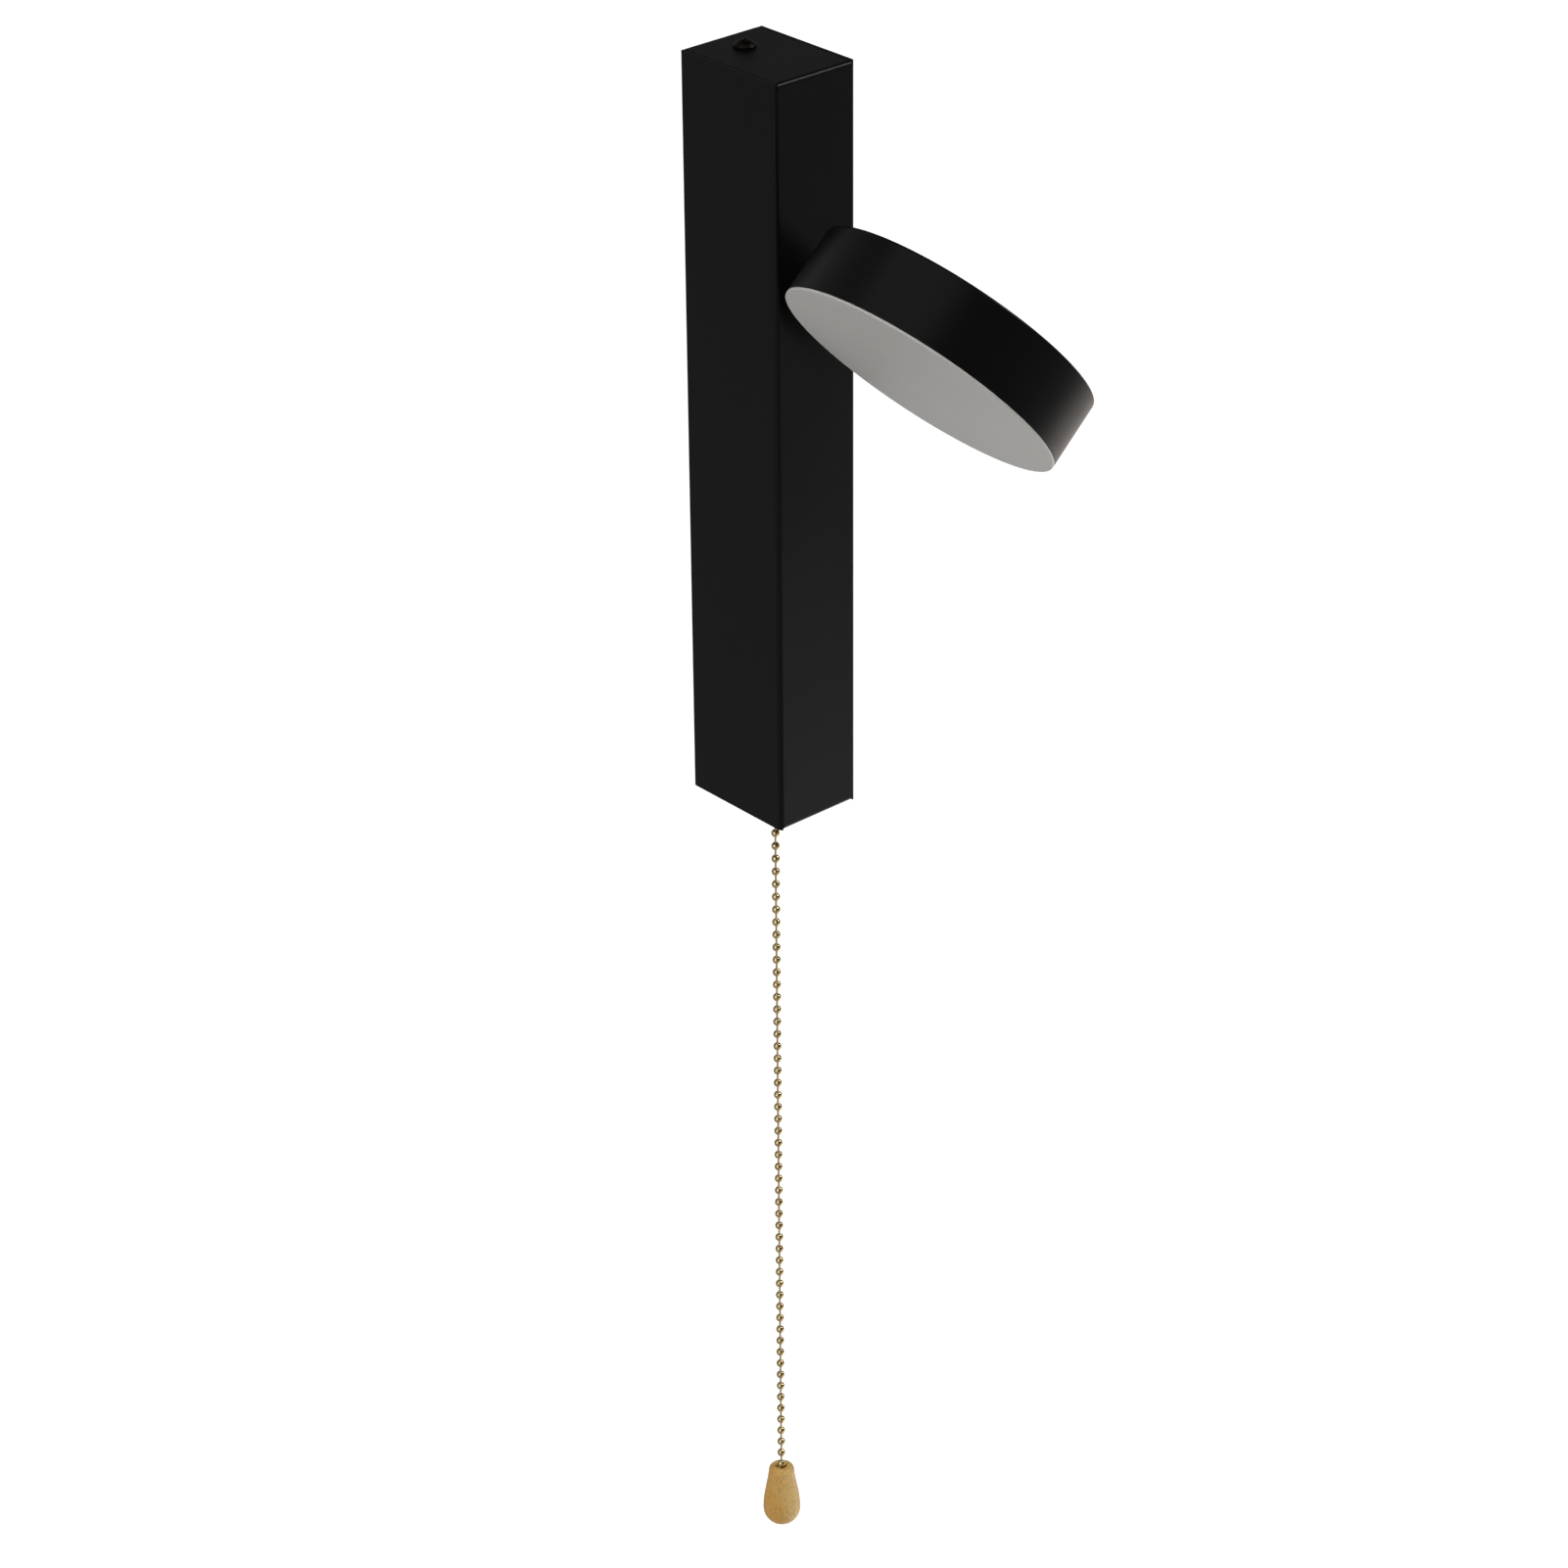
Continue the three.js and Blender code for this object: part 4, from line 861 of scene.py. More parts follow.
@dataclass(frozen=True)
class Studio:
    """The camera, the soft lights and the pale floor.

    Args:
        azimuth: Degrees that the camera stands to the right of someone facing the wall.
        elevation: Degrees that it stands above level.
        roll: Degrees that it is turned about its own axis.
        distance: Metres from the middle of the housing, along its view.
        aside: Metres that it is shifted to its right.
        below: Metres that it is shifted down, across its view.
        lens: Focal length in millimetres.
        film: Width of the film in millimetres.
        floor_drop: Metres from the middle of the housing down to the floor.
        floor_half: Half the floor's width in metres.
        overhead: Brightness of the room above `ceiling`.
        ceiling: Sine of the elevation at which the room has faded to that brightness.
        underfoot: Brightness of the room straight below.
        softboxes: The lights.
    """

    azimuth: float = -41.567
    elevation: float = 28.658
    roll: float = -0.487
    distance: float = 1.5966
    aside: float = 0.01885
    below: float = 0.12850
    lens: float = 104.33
    film: float = 36.0
    floor_drop: float = 2.0
    floor_half: float = 40.0
    overhead: float = 0.0
    ceiling: float = 0.75
    underfoot: float = 0.52
    softboxes: tuple[Softbox, ...] = (
        Softbox("left_softbox", -80.0, 10.0, 2.2, 2.0, 18.0),
        Softbox("high_front_softbox", -78.0, 56.0, 2.2, 2.4, 15.0),
        Softbox("high_right_softbox", 50.0, 41.0, 2.2, 0.35, 17.0),
        Softbox("low_front_softbox", 42.0, -52.0, 1.0, 0.8, 1.4),
        Softbox("low_back_softbox", 102.0, -38.0, 2.2, 2.4, 17.0, "#fff1e8"),
        Softbox("back_left_softbox", -158.0, 32.0, 2.2, 2.8, 5.0),
    )

    def direction(self, azimuth: float, elevation: float) -> Vector:
        """A unit vector from the lamp: (sin a cos e, -cos a cos e, sin e)."""
        a, e = math.radians(azimuth), math.radians(elevation)
        return Vector((math.sin(a) * math.cos(e), -math.cos(a) * math.cos(e), math.sin(e)))

    def stand_camera(self) -> None:
        """Places the camera: its axes are right, up and back, turned by the roll about back."""
        back = self.direction(self.azimuth, self.elevation)
        a, r = math.radians(self.azimuth), math.radians(self.roll)
        right = Vector((math.cos(a), math.sin(a), 0))
        up = back.cross(right)
        turned_right = right * math.cos(r) + up * math.sin(r)
        turned_up = up * math.cos(r) - right * math.sin(r)
        place = back * self.distance + right * self.aside - up * self.below
        data = bpy.data.cameras.new("camera")
        data.sensor_width = self.film
        data.lens = self.lens
        data.clip_end = 200.0
        camera = bpy.data.objects.new("camera", data)
        axes = Matrix((turned_right, turned_up, back)).transposed().to_4x4()
        camera.matrix_world = Matrix.Translation(place) @ axes
        bpy.context.scene.collection.objects.link(camera)
        bpy.context.scene.camera = camera

    def light(self) -> None:
        """A room that is darker overhead, and the softboxes; colours are shown without a film curve."""
        scene = bpy.context.scene
        scene.view_settings.view_transform = "Standard"
        world = bpy.data.worlds.new("grey_room")
        world.use_nodes = True
        room = world.node_tree.nodes["Background"]
        room.inputs["Color"].default_value = linear("#ffffff")
        direction = put(world.node_tree, "ShaderNodeTexCoord", {}).outputs["Generated"]
        height = put(world.node_tree, "ShaderNodeSeparateXYZ", {"Vector": direction}).outputs["Z"]
        glow = remapped(world.node_tree, height, (-1.0, self.ceiling), (self.underfoot, self.overhead))
        world.node_tree.links.new(glow, room.inputs["Strength"])
        scene.world = world
        for box in self.softboxes:
            data = bpy.data.lights.new(box.name, "AREA")
            data.shape = "SQUARE"
            data.size = box.size
            data.energy = box.power
            data.color = linear(box.tint)[:3]
            lamp = bpy.data.objects.new(box.name, data)
            towards = self.direction(box.azimuth, box.elevation)
            lamp.location = towards * box.distance
            lamp.rotation_euler = towards.to_track_quat("Z", "Y").to_euler()
            scene.collection.objects.link(lamp)

    def lay_floor(self) -> None:
        """A wide sheet of white paper, far enough below to take no shadow; it doesn't light the lamp."""
        half = self.floor_half / MM
        lines = np.array([-half, half])
        corners = np.stack(np.meshgrid(lines, lines), axis=-1).reshape(-1, 2)
        points = np.column_stack([corners, np.full(4, -self.floor_drop / MM)])
        floor = make_piece("floor", Surface(points, grid_quads(2, 2)))
        floor.data.materials.append(StudioPaper("white_paper", "#ffffff", 0.9).build())
        floor.visible_diffuse = False
        floor.visible_glossy = False


# ---------------------------------------------------------------------------------------------
# pull chain
# ---------------------------------------------------------------------------------------------


@dataclass(frozen=True)
class PullChain:
    """The bead chain and its turned wooden pull.

    Args:
        pitches: Bead spacings between the first bead and the last one that shows.
        seat: The last bead's centre above the pull's top.
        link: Radius of the link wire.
        tuck: How far a link goes into the beads at its ends.
        waist: Radius of the hole's lip at each end of a bead, where the link goes in.
        top_radius: Radius of the pull's flat top.
        neck_radius: Radius of the pull's neck, below its rounded top edge.
        shoulder: Height of that edge.
        foot: Radius of the flat that the parting tool leaves.
        hole: Radius of the recess for the chain.
        recess: Its depth.
    """

    pitches: int = 55
    seat: float = 1.0
    link: float = 0.42
    tuck: float = 0.45
    waist: float = 0.62
    top_radius: float = 3.2
    neck_radius: float = 4.9
    shoulder: float = 1.9
    foot: float = 3.0
    hole: float = 2.0
    recess: float = 2.2

    def bead(self, radius: float) -> Surface:
        """A stamped bead: a ball of `radius` whose two ends stop at the waist and turn in, with a faint seam.

        The radius at angle t from the axis is R sin t, less 1.5% within 4 degrees of the equator's seam.

        Args:
            radius: Radius of the ball.

        Returns:
            The bead, its axis along Z and its middle at the origin.
        """
        start = math.asin(self.waist / radius)
        t = np.linspace(start, math.pi - start, 13)
        seam = 1 - 0.015 * np.exp(-(((t - math.pi / 2) / 0.07) ** 2))
        arc = np.stack([radius * np.sin(t) * seam, radius * np.cos(t)], axis=-1)
        inner = np.array([[0.0, arc[0, 1] - 0.25]])
        return revolved(np.vstack([inner, arc, inner * [1, -1]]), 20)

    def link_bar(self, length: float) -> Surface:
        """The wire between two beads: a bar along Z with slightly swollen ends, its middle at the origin.

        Args:
            length: Its length.

        Returns:
            The bar.
        """
        z = np.array([-0.5, -0.5, -0.36, 0.0, 0.36, 0.5, 0.5]) * length
        r = np.array([0.0, 1.15, 1.0, 1.0, 1.0, 1.15, 0.0]) * self.link
        return revolved(np.stack([r, z], axis=-1), 10)

    def pull(self, length: float, radius: float) -> Surface:
        """The pull, standing on z = 0.

        Its lower end is part of a ball: r = R sin t. Above the widest place the radius falls as half a cosine
        wave to the neck, r = R - (R - n)(1 - cos(0.85 pi s)) / 2; a quarter ellipse rounds the top edge.

        Args:
            length: Its height.
            radius: Radius at its widest.

        Returns:
            The pull.
        """
        foot_angle = math.asin(self.foot / radius)
        widest = radius * math.cos(foot_angle)
        flank_top = length - self.shoulder
        t = np.linspace(foot_angle, math.pi / 2, 18)
        ball = np.stack([radius * np.sin(t), widest - radius * np.cos(t)], axis=-1)
        s = np.linspace(0, 1, 24)[1:]
        drawn = radius - (radius - self.neck_radius) * (1 - np.cos(0.85 * np.pi * s)) / 2
        flank = np.stack([drawn, widest + s * (flank_top - widest)], axis=-1)
        q = np.linspace(0, math.pi / 2, 9)[1:]
        across = self.top_radius + (drawn[-1] - self.top_radius) * np.cos(q)
        edge = np.stack([across, flank_top + self.shoulder * np.sin(q)], axis=-1)
        mouth = rounded(
            [
                (self.top_radius, length, 0),
                (self.hole, length, 0.25),
                (self.hole, length - self.recess, 0.5),
                (0, length - self.recess, 0),
            ]
        )[1:]
        foot = np.array([[0.0, 0.25], [self.foot * 0.6, 0.12], [self.foot * 0.9, 0.0]])
        return revolved(np.vstack([foot, ball, flank, edge, mouth]), 72)

    def build(self, materials: Materials) -> None:
        """Makes the first bead, the hanging chain, the chain inside the switch and the pull.

        Args:
            materials: The materials by their slots.
        """
        low, high = box_mm("chain_first_bead")
        first = (low + high) / 2
        bead_radius = float(high[0] - low[0]) / 2
        pull_low, pull_high = box_mm("wooden_pull")
        last = float(pull_high[2]) + self.seat
        pitch = (float(first[2]) - last) / self.pitches
        inside_top = float(box_mm("chain_inner")[1][2])
        down = np.array([0.0, 0.0, -1.0])
        bead, link = self.bead(bead_radius), self.link_bar(pitch - 2 * (bead_radius - self.tuck))
        below = first + down * pitch * np.arange(1, self.pitches + 1)[:, None]
        hanging = [bead.copied_to(below), link.copied_to(below - down * pitch / 2)]
        hanging.append(link.copied_to(below[-1:] + down * pitch / 2))
        chain = make_piece("hanging_chain", joined(hanging))
        above = int((inside_top - first[2]) / pitch)
        within = first - down * pitch * np.arange(1, above + 1)[:, None]
        inside = [bead.copied_to(within), link.copied_to(within + down * pitch / 2)]
        inner = make_piece("inside_chain", joined(inside))
        lead = make_piece("mouth_bead", bead.copied_to(first[None]))
        length, radius = float(pull_high[2] - pull_low[2]), float(pull_high[0] - pull_low[0]) / 2
        turned = self.pull(length, radius).copied_to(np.array([[first[0], first[1], pull_low[2]]]))
        pull = make_piece("drop_pull", turned)
        settle(lead, "chain_top", materials, "brass_chain", "chain_first_bead")
        settle(inner, "pull_slider", materials, "brass_chain", "chain_inner")
        settle(chain, "chain", materials, "brass_chain", "chain_outer")
        settle(pull, "chain", materials, "turned_wood", "wooden_pull")


# ---------------------------------------------------------------------------------------------
# housing
# ---------------------------------------------------------------------------------------------


@dataclass(frozen=True)
class DomeScrew:
    """A pan-head screw with a cross recess, its shank going into the bracket's tab.

    Args:
        radius: Head radius.
        height: Head height.
        edge_drop: How far the dome has fallen at the head's edge.
        shank: Shank radius.
        length: Shank length under the head.
        arm: Half the width of a recess arm at the top.
        reach: Length of an arm from the axis.
        recess: Depth of the recess.
        pitch: Thread pitch.
        thread: Half the depth of the thread.
        turned: Degrees that the recess is turned about the screw's axis.
        sides: Points in each ring.
    """

    radius: float = 4.0
    height: float = 2.3
    edge_drop: float = 1.656
    shank: float = 1.4
    length: float = 6.0
    arm: float = 0.42
    reach: float = 1.75
    recess: float = 1.3
    pitch: float = 0.5
    thread: float = 0.12
    turned: float = 25.0
    sides: int = 96

    def surface(self) -> Surface:
        """The screw, its head's top at z = 0 and pointing up.

        The head is a flat-topped dome: z = -d (r / R)^2.6, with d the edge's drop. Inside either arm of the
        cross, where min(|x|, |y|) < arm and max < reach, the top sinks by the recess times a smooth step of
        the distance to the arm's side. The shank's radius swings with the thread: cos of 2 pi z / pitch - f.

        Returns:
            The screw.
        """
        angle = np.linspace(0, 2 * np.pi, self.sides, endpoint=False)
        rings = np.linspace(0, 1, 30)[1:] ** 0.9 * self.radius
        dome = -self.edge_drop * (rings / self.radius) ** 2.6
        x, y = rings[:, None] * np.cos(angle), rings[:, None] * np.sin(angle)
        near, far = np.minimum(np.abs(x), np.abs(y)), np.maximum(np.abs(x), np.abs(y))
        side = np.clip((self.arm - near) / (self.arm * 0.5), 0, 1)
        tip = np.clip((self.reach - far) / (self.reach * 0.35), 0, 1)
        share = np.minimum(side, tip)
        sunk = dome[:, None] - self.recess * share**2 * (3 - 2 * share)
        top = np.stack([x, y, sunk], axis=-1)
        under = rounded(
            [
                (self.radius, -self.edge_drop, 0),
                (self.radius, -self.height, 0.12),
                (self.shank + 0.1, -self.height, 0),
            ],
            steps=2,
        )[1:]
        turns = np.arange(-self.height, -self.height - self.length, -self.pitch / 6)
        thread = self.thread * np.cos(2 * np.pi * turns[:, None] / self.pitch - angle)
        thread *= np.clip((turns[0] - turns[:, None]) / self.pitch, 0, 1)
        r = np.concatenate([np.repeat(under[:, :1], self.sides, axis=1), self.shank + thread])
        z = np.concatenate([under[:, 1], turns])
        low_z = np.repeat(z[:, None], self.sides, axis=1)
        lower = np.stack([r * np.cos(angle), r * np.sin(angle), low_z], axis=-1)
        return capped(np.concatenate([top, lower]), np.array([[0, 0, -self.recess], [0, 0, z[-1] - 0.5]]))

    def build(self, node: str, place: Array, side: int, materials: Materials) -> None:
        """Puts the screw at a place, pointing up or down.

        Args:
            node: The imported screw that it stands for.
            place: Where the top of its head is.
            side: 1 for a head that faces up, -1 for one that faces down.
            materials: The finished materials by slot.
        """
        turn = Matrix.Rotation(0 if side > 0 else math.pi, 4, "X")
        turn = turn @ Matrix.Rotation(math.radians(self.turned), 4, "Z")
        surface = self.surface().placed(Matrix.Translation(place) @ turn)
        screw = make_piece(node.replace("fixing_screw", "dome_screw"), surface)
        settle(screw, "lamp", materials, "black_screw", node)


@dataclass(frozen=True)
class FoldedHousing:
    """The housing: one steel blank, folded at four upright and two level bends, open at the wall.

    Args:
        sheet: Thickness of the steel.
        side_bend: Outer radius of the upright bends.
        flap_bend: Outer radius of the bends to the flaps.
        seam: Slit between a flap and the side wall.
        relief: How far the upright bends are cut back past a flap's bend.
        paint: Rounding of the sheet's edges by the paint.
        screw_hole: Radius of the holes for the fixing screws.
        neck_hole: Radius of the hole for the switch's neck, and of the one for the head's.
        bend_steps: Steps in each bend.
    """

    sheet: float = 1.2
    side_bend: float = 1.7
    flap_bend: float = 1.5
    seam: float = 0.35
    relief: float = 0.6
    paint: float = 0.14
    screw_hole: float = 1.8
    neck_hole: float = 5.3
    bend_steps: int = 8

    def bend_lines(self, start: float, radius: float, end: float) -> list[float]:
        """Grid lines over a bend, close beside it, and on to the end of what is folded back.

        Args:
            start: Where the bend begins on the blank.
            radius: The bend's outer radius.
            end: Where the blank ends.

        Returns:
            The lines, in rising order.
        """
        arc = math.pi / 2 * radius
        over = list(np.linspace(start, start + arc, self.bend_steps + 1))
        return [start - 0.3, *over, start + arc + 0.3, start + arc + (end - start - arc) / 2, end]

    def fold(
        self, distance: Array, start: float, radius: float, half: float, front: float
    ) -> tuple[Array, Array]:
        """Where a point of the blank lies after a bend.

        Up to `start` from the middle it stays on the face. Over the bend, at angle f = (distance - start) /
        radius, it is radius sin f further out and radius (1 - cos f) back. Past the bend it goes straight
        back.

        Args:
            distance: Distances from the middle of the face, along the blank.
            start: Where the bend starts.
            radius: Its outer radius.
            half: Half the finished width.
            front: The face's y.

        Returns:
            The distance from the middle and the y of each point.
        """
        arc = math.pi / 2 * radius
        size = np.abs(distance)
        angle = np.clip((size - start) / radius, 0, math.pi / 2)
        bent = np.where(size >= start + arc, half, start + radius * np.sin(angle))
        out = np.where(size <= start, size, bent)
        back = radius * (1 - np.cos(angle)) + np.maximum(size - start - arc, 0)
        return out * np.sign(distance), front + back

    def blank(self, half_width: float, half_height: float, depth: float, holes: Sequence[Hole]) -> Surface:
        """The outer skin: the flat blank folded about its two pairs of bends.

        Args:
            half_width: Half the housing's width.
            half_height: Half its height.
            depth: Its depth.
            holes: Holes in the blank.

        Returns:
            The skin, to be thickened inwards.
        """
        flat_u, flat_v = half_width - self.side_bend, half_height - self.flap_bend
        side_end = flat_u + math.pi / 2 * self.side_bend + depth - self.side_bend
        flap_end = flat_v + math.pi / 2 * self.flap_bend + depth - self.flap_bend
        inner = half_width - self.sheet
        slit = flat_u + self.side_bend * math.asin((inner - flat_u) / self.side_bend)
        flap = min(inner - self.seam, slit - 0.05)
        notch = flat_v - self.relief
        right = [0.0, flat_u / 2, *self.bend_lines(flat_u, self.side_bend, side_end), slit, flap]
        top = [0.0, half_height / 3, half_height * 2 / 3, notch, half_height]
        top += self.bend_lines(flat_v, self.flap_bend, flap_end)

        def keep(u: Array, v: Array) -> Array:
            """The cross-shaped blank: flaps inside the slits, walls outside them, the front between."""
            u, v = np.abs(u), np.abs(v)
            return (u < flap) | ((u > slit) & (v < half_height)) | (v < notch)

        points, quads = flat_pattern(right + [-u for u in right], top + [-v for v in top], keep, holes)
        u, v = points.T
        x, side_y = self.fold(u, flat_u, self.side_bend, half_width, -depth)
        z, flap_y = self.fold(v, flat_v, self.flap_bend, half_height, -depth)
        flap_part = (np.abs(u) < flap + 1e-6) & (np.abs(v) > flat_v)
        y = np.where(flap_part, flap_y, side_y)
        return Surface(np.stack([np.where(flap_part, u, x), y, np.where(flap_part, z, v)], axis=-1), quads)

    def build(self, materials: Materials) -> None:
        """Folds the housing, with a hole at the middle of what goes through it, and puts in its screws.

        Args:
            materials: The materials by their slots.
        """
        low, high = box_mm("housing_shell")
        half_width, half_height, depth = float(high[0]), float(high[2]), -float(low[1])
        past_bend = half_height + depth + (math.pi / 2 - 2) * self.flap_bend
        screw, neck = past_bend + middle_mm("top_fixing_screw")[1], past_bend + middle_mm("switch_neck")[1]
        holes = [
            Hole(0, screw, self.screw_hole, border=1.0, steps=6),
            Hole(0, -screw, self.screw_hole, border=1.0, steps=6),
            Hole(0, -neck, self.neck_hole, border=1.0),
            Hole(0, middle_mm("hollow_nipple")[2], self.neck_hole, border=1.5),
        ]
        skin = self.blank(half_width, half_height, depth, holes)
        housing = make_piece("folded_housing", skin)
        thicken(housing, self.sheet, self.paint)
        settle(housing, "lamp", materials, "black_powder_coat", "housing_shell")
        for name, side in (("top_fixing_screw", 1), ("bottom_fixing_screw", -1)):
            low, high = box_mm(name)
            seat = float(low[2]) if side < 0 else float(high[2])
            place = np.array([(low[0] + high[0]) / 2, (low[1] + high[1]) / 2, seat])
            DomeScrew().build(name, place, side, materials)


# ---------------------------------------------------------------------------------------------
# wall bracket
# ---------------------------------------------------------------------------------------------


SMALL_SCREWS = ("earth_screw", "driver_screw_low", "driver_screw_high")


@dataclass(frozen=True)
class WallBracket:
    """The strip that is screwed to the wall, with a tab at each end and a grommet in its cable hole.

    Args:
        sheet: Thickness of the strip.
        bend: Outer radius of the bends to the tabs.
        tab_inset: How much narrower a tab is than the strip, on each side.
        slot_from_end: Slots' middles from the housing's ends.
        slot_radius: Radius of a slot's round ends.
        slot_reach: Half its straight part.
        seat_border: Width of the raised seat round a slot.
        seat_height: Height of that seat.
        edge: Rounding of the cut edges.
        small_hole: Radius of the holes for 3 mm screws.
        peg_hole: Radius of the hole for the terminal block's peg.
        cable_hole: Radius of the cable's hole.
        grommet_lip: How far the grommet's lip overlaps the strip.
        grommet_wall: Its wall inside the hole.
        grommet_flange: Thickness of the lip.
        clearance: Gap between the grommet and the hole.
    """

    sheet: float = 1.5
    bend: float = 1.8
    tab_inset: float = 3.5
    slot_from_end: float = 18.0
    slot_radius: float = 2.25
    slot_reach: float = 2.75
    seat_border: float = 3.75
    seat_height: float = 0.5
    edge: float = 0.15
    small_hole: float = 1.8
    peg_hole: float = 2.3
    cable_hole: float = 9.0
    grommet_lip: float = 2.0
    grommet_wall: float = 2.4
    grommet_flange: float = 1.5
    clearance: float = 0.3

    def holes(self, tab_start: float) -> list[Hole]:
        """Every hole of the strip, at the middle of what goes through it.

        Args:
            tab_start: Where a tab's blank would be level with the strip's back.

        Returns:
            The two slots first, then the others.
        """
        end = float(box_mm("housing_shell")[1][2]) - self.slot_from_end
        slots = [
            Hole(0, end, self.slot_radius, reach_v=self.slot_reach),
            Hole(0, -end, self.slot_radius, reach_u=self.slot_reach),
        ]
        screws = [middle_mm(name) for name in SMALL_SCREWS]
        small = [Hole(x, z, self.small_hole, border=1.0, steps=6) for x, _, z in screws]
        peg = Hole(0, middle_mm("terminal_body")[2], self.peg_hole, border=1.0, steps=6)
        cable = Hole(0, middle_mm("cable_grommet")[2], self.cable_hole, border=1.5, steps=12)
        reach = -middle_mm("top_fixing_screw")[1]
        ends = (tab_start + reach, -tab_start - reach)
        tabs = [Hole(0, along, self.small_hole, border=1.0, steps=6) for along in ends]
        return [*slots, *small, peg, cable, *tabs]

    def strip(self) -> Surface:
        """The room side of the strip and the inner sides of its tabs.

        The blank lies at y = -sheet. Past the bend line at v0 it turns towards the room: at angle
        f = (v - v0) / r it is r sin f further along and r (1 - cos f) forward, then goes straight forward.

        Returns:
            The skin, to be thickened away from the room.
        """
        low, high = box_mm("wall_bracket")
        half_width, half_height, reach = float(high[0]), float(high[2]), -float(low[1])
        inner = self.bend - self.sheet
        flat = half_height - self.bend
        arc = math.pi / 2 * inner
        end = flat + arc + reach - self.sheet - inner
        tab_half = half_width - self.tab_inset
        over = list(np.linspace(flat, flat + arc, 5))
        along = [0.0, half_height / 2, flat - 0.6, *over, flat + arc + 0.4, end]
        shift = (math.pi / 2 - 1) * inner
        holes = self.holes(half_height - self.sheet + shift - self.sheet)

        def keep(u: Array, v: Array) -> Array:
            """The strip below the tabs' roots, and the tabs."""
            return (np.abs(v) < flat - 0.6) | (np.abs(u) < tab_half)

        across = [-half_width, -tab_half, 0.0, tab_half, half_width]
        points, quads = flat_pattern(across, along + [-v for v in along], keep, holes)
        u, v = points.T
        size = np.abs(v)
        angle = np.clip((size - flat) / inner, 0, math.pi / 2)
        z = np.where(size <= flat, size, flat + inner * np.sin(angle)) * np.sign(v)
        forward = inner * (1 - np.cos(angle)) + np.maximum(size - flat - arc, 0)
        return Surface(np.stack([u, -self.sheet - forward, z], axis=-1), quads)

    def seat(self, hole: Hole) -> Surface:
        """A raised flat round a slot: the space between the slot's outline and one set out from it.

        Args:
            hole: The slot.

        Returns:
            The seat in its place.
        """
        wider = replace(hole, radius=hole.radius + self.seat_border)
        shares = np.linspace(0, 1, hole.steps + 1)
        inner, outer = hole.outline(shares, shares), wider.outline(shares, shares)
        front, back = -self.sheet - self.seat_height, -self.sheet + 0.2
        rim = 0.25
        shrink = replace(hole, radius=wider.radius - rim).outline(shares, shares)
        rows = [(inner, back), (inner, front), (shrink, front), (outer, front + rim), (outer, back)]
        return ring_shaped(np.stack([np.insert(outline, 1, y, axis=1) for outline, y in rows]))

    def grommet(self) -> Surface:
        """The rubber ring: a soft-cornered profile turned about the cable's axis, which runs along Y.

        Returns:
            The ring in its place.
        """
        low, high = box_mm("cable_grommet")
        lip, depth = float(high[0]), float(high[1] - low[1])
        body = lip - self.grommet_lip - self.clearance
        bore = body - self.grommet_wall
        step = depth - self.grommet_flange
        profile = rounded(
            [
                (bore, 0, 0.4),
                (body, 0, 0.3),
                (body, step, 0.15),
                (lip, step, 0.4),
                (lip, depth, 0.6),
                (bore, depth, 0.6),
            ],
            closed=True,
        )
        turn = Matrix.Rotation(math.pi / 2, 4, "X")
        centre = np.array([0.0, float(high[1]), float(low[2] + high[2]) / 2])
        return revolved(profile, 64, closed=True).placed(Matrix.Translation(centre) @ turn)

    def build(self, materials: Materials) -> None:
        """Makes the strip with its raised seats, and the grommet.

        Args:
            materials: The materials by their slots.
        """
        strip = make_piece("bracket_strip", self.strip())
        thicken(strip, self.sheet, self.edge)
        settle(strip, "lamp", materials, "zinc_plated_steel", "wall_bracket")
        slots = self.holes(0)[:2]
        seats = make_piece("slot_seats", joined([self.seat(replace(hole, steps=12)) for hole in slots]))
        settle(seats, "lamp", materials, "zinc_plated_steel")
        ring = make_piece("rubber_grommet", self.grommet())
        settle(ring, "lamp", materials, "black_rubber", "cable_grommet")


# ---------------------------------------------------------------------------------------------
# disc head and its swivel
# ---------------------------------------------------------------------------------------------


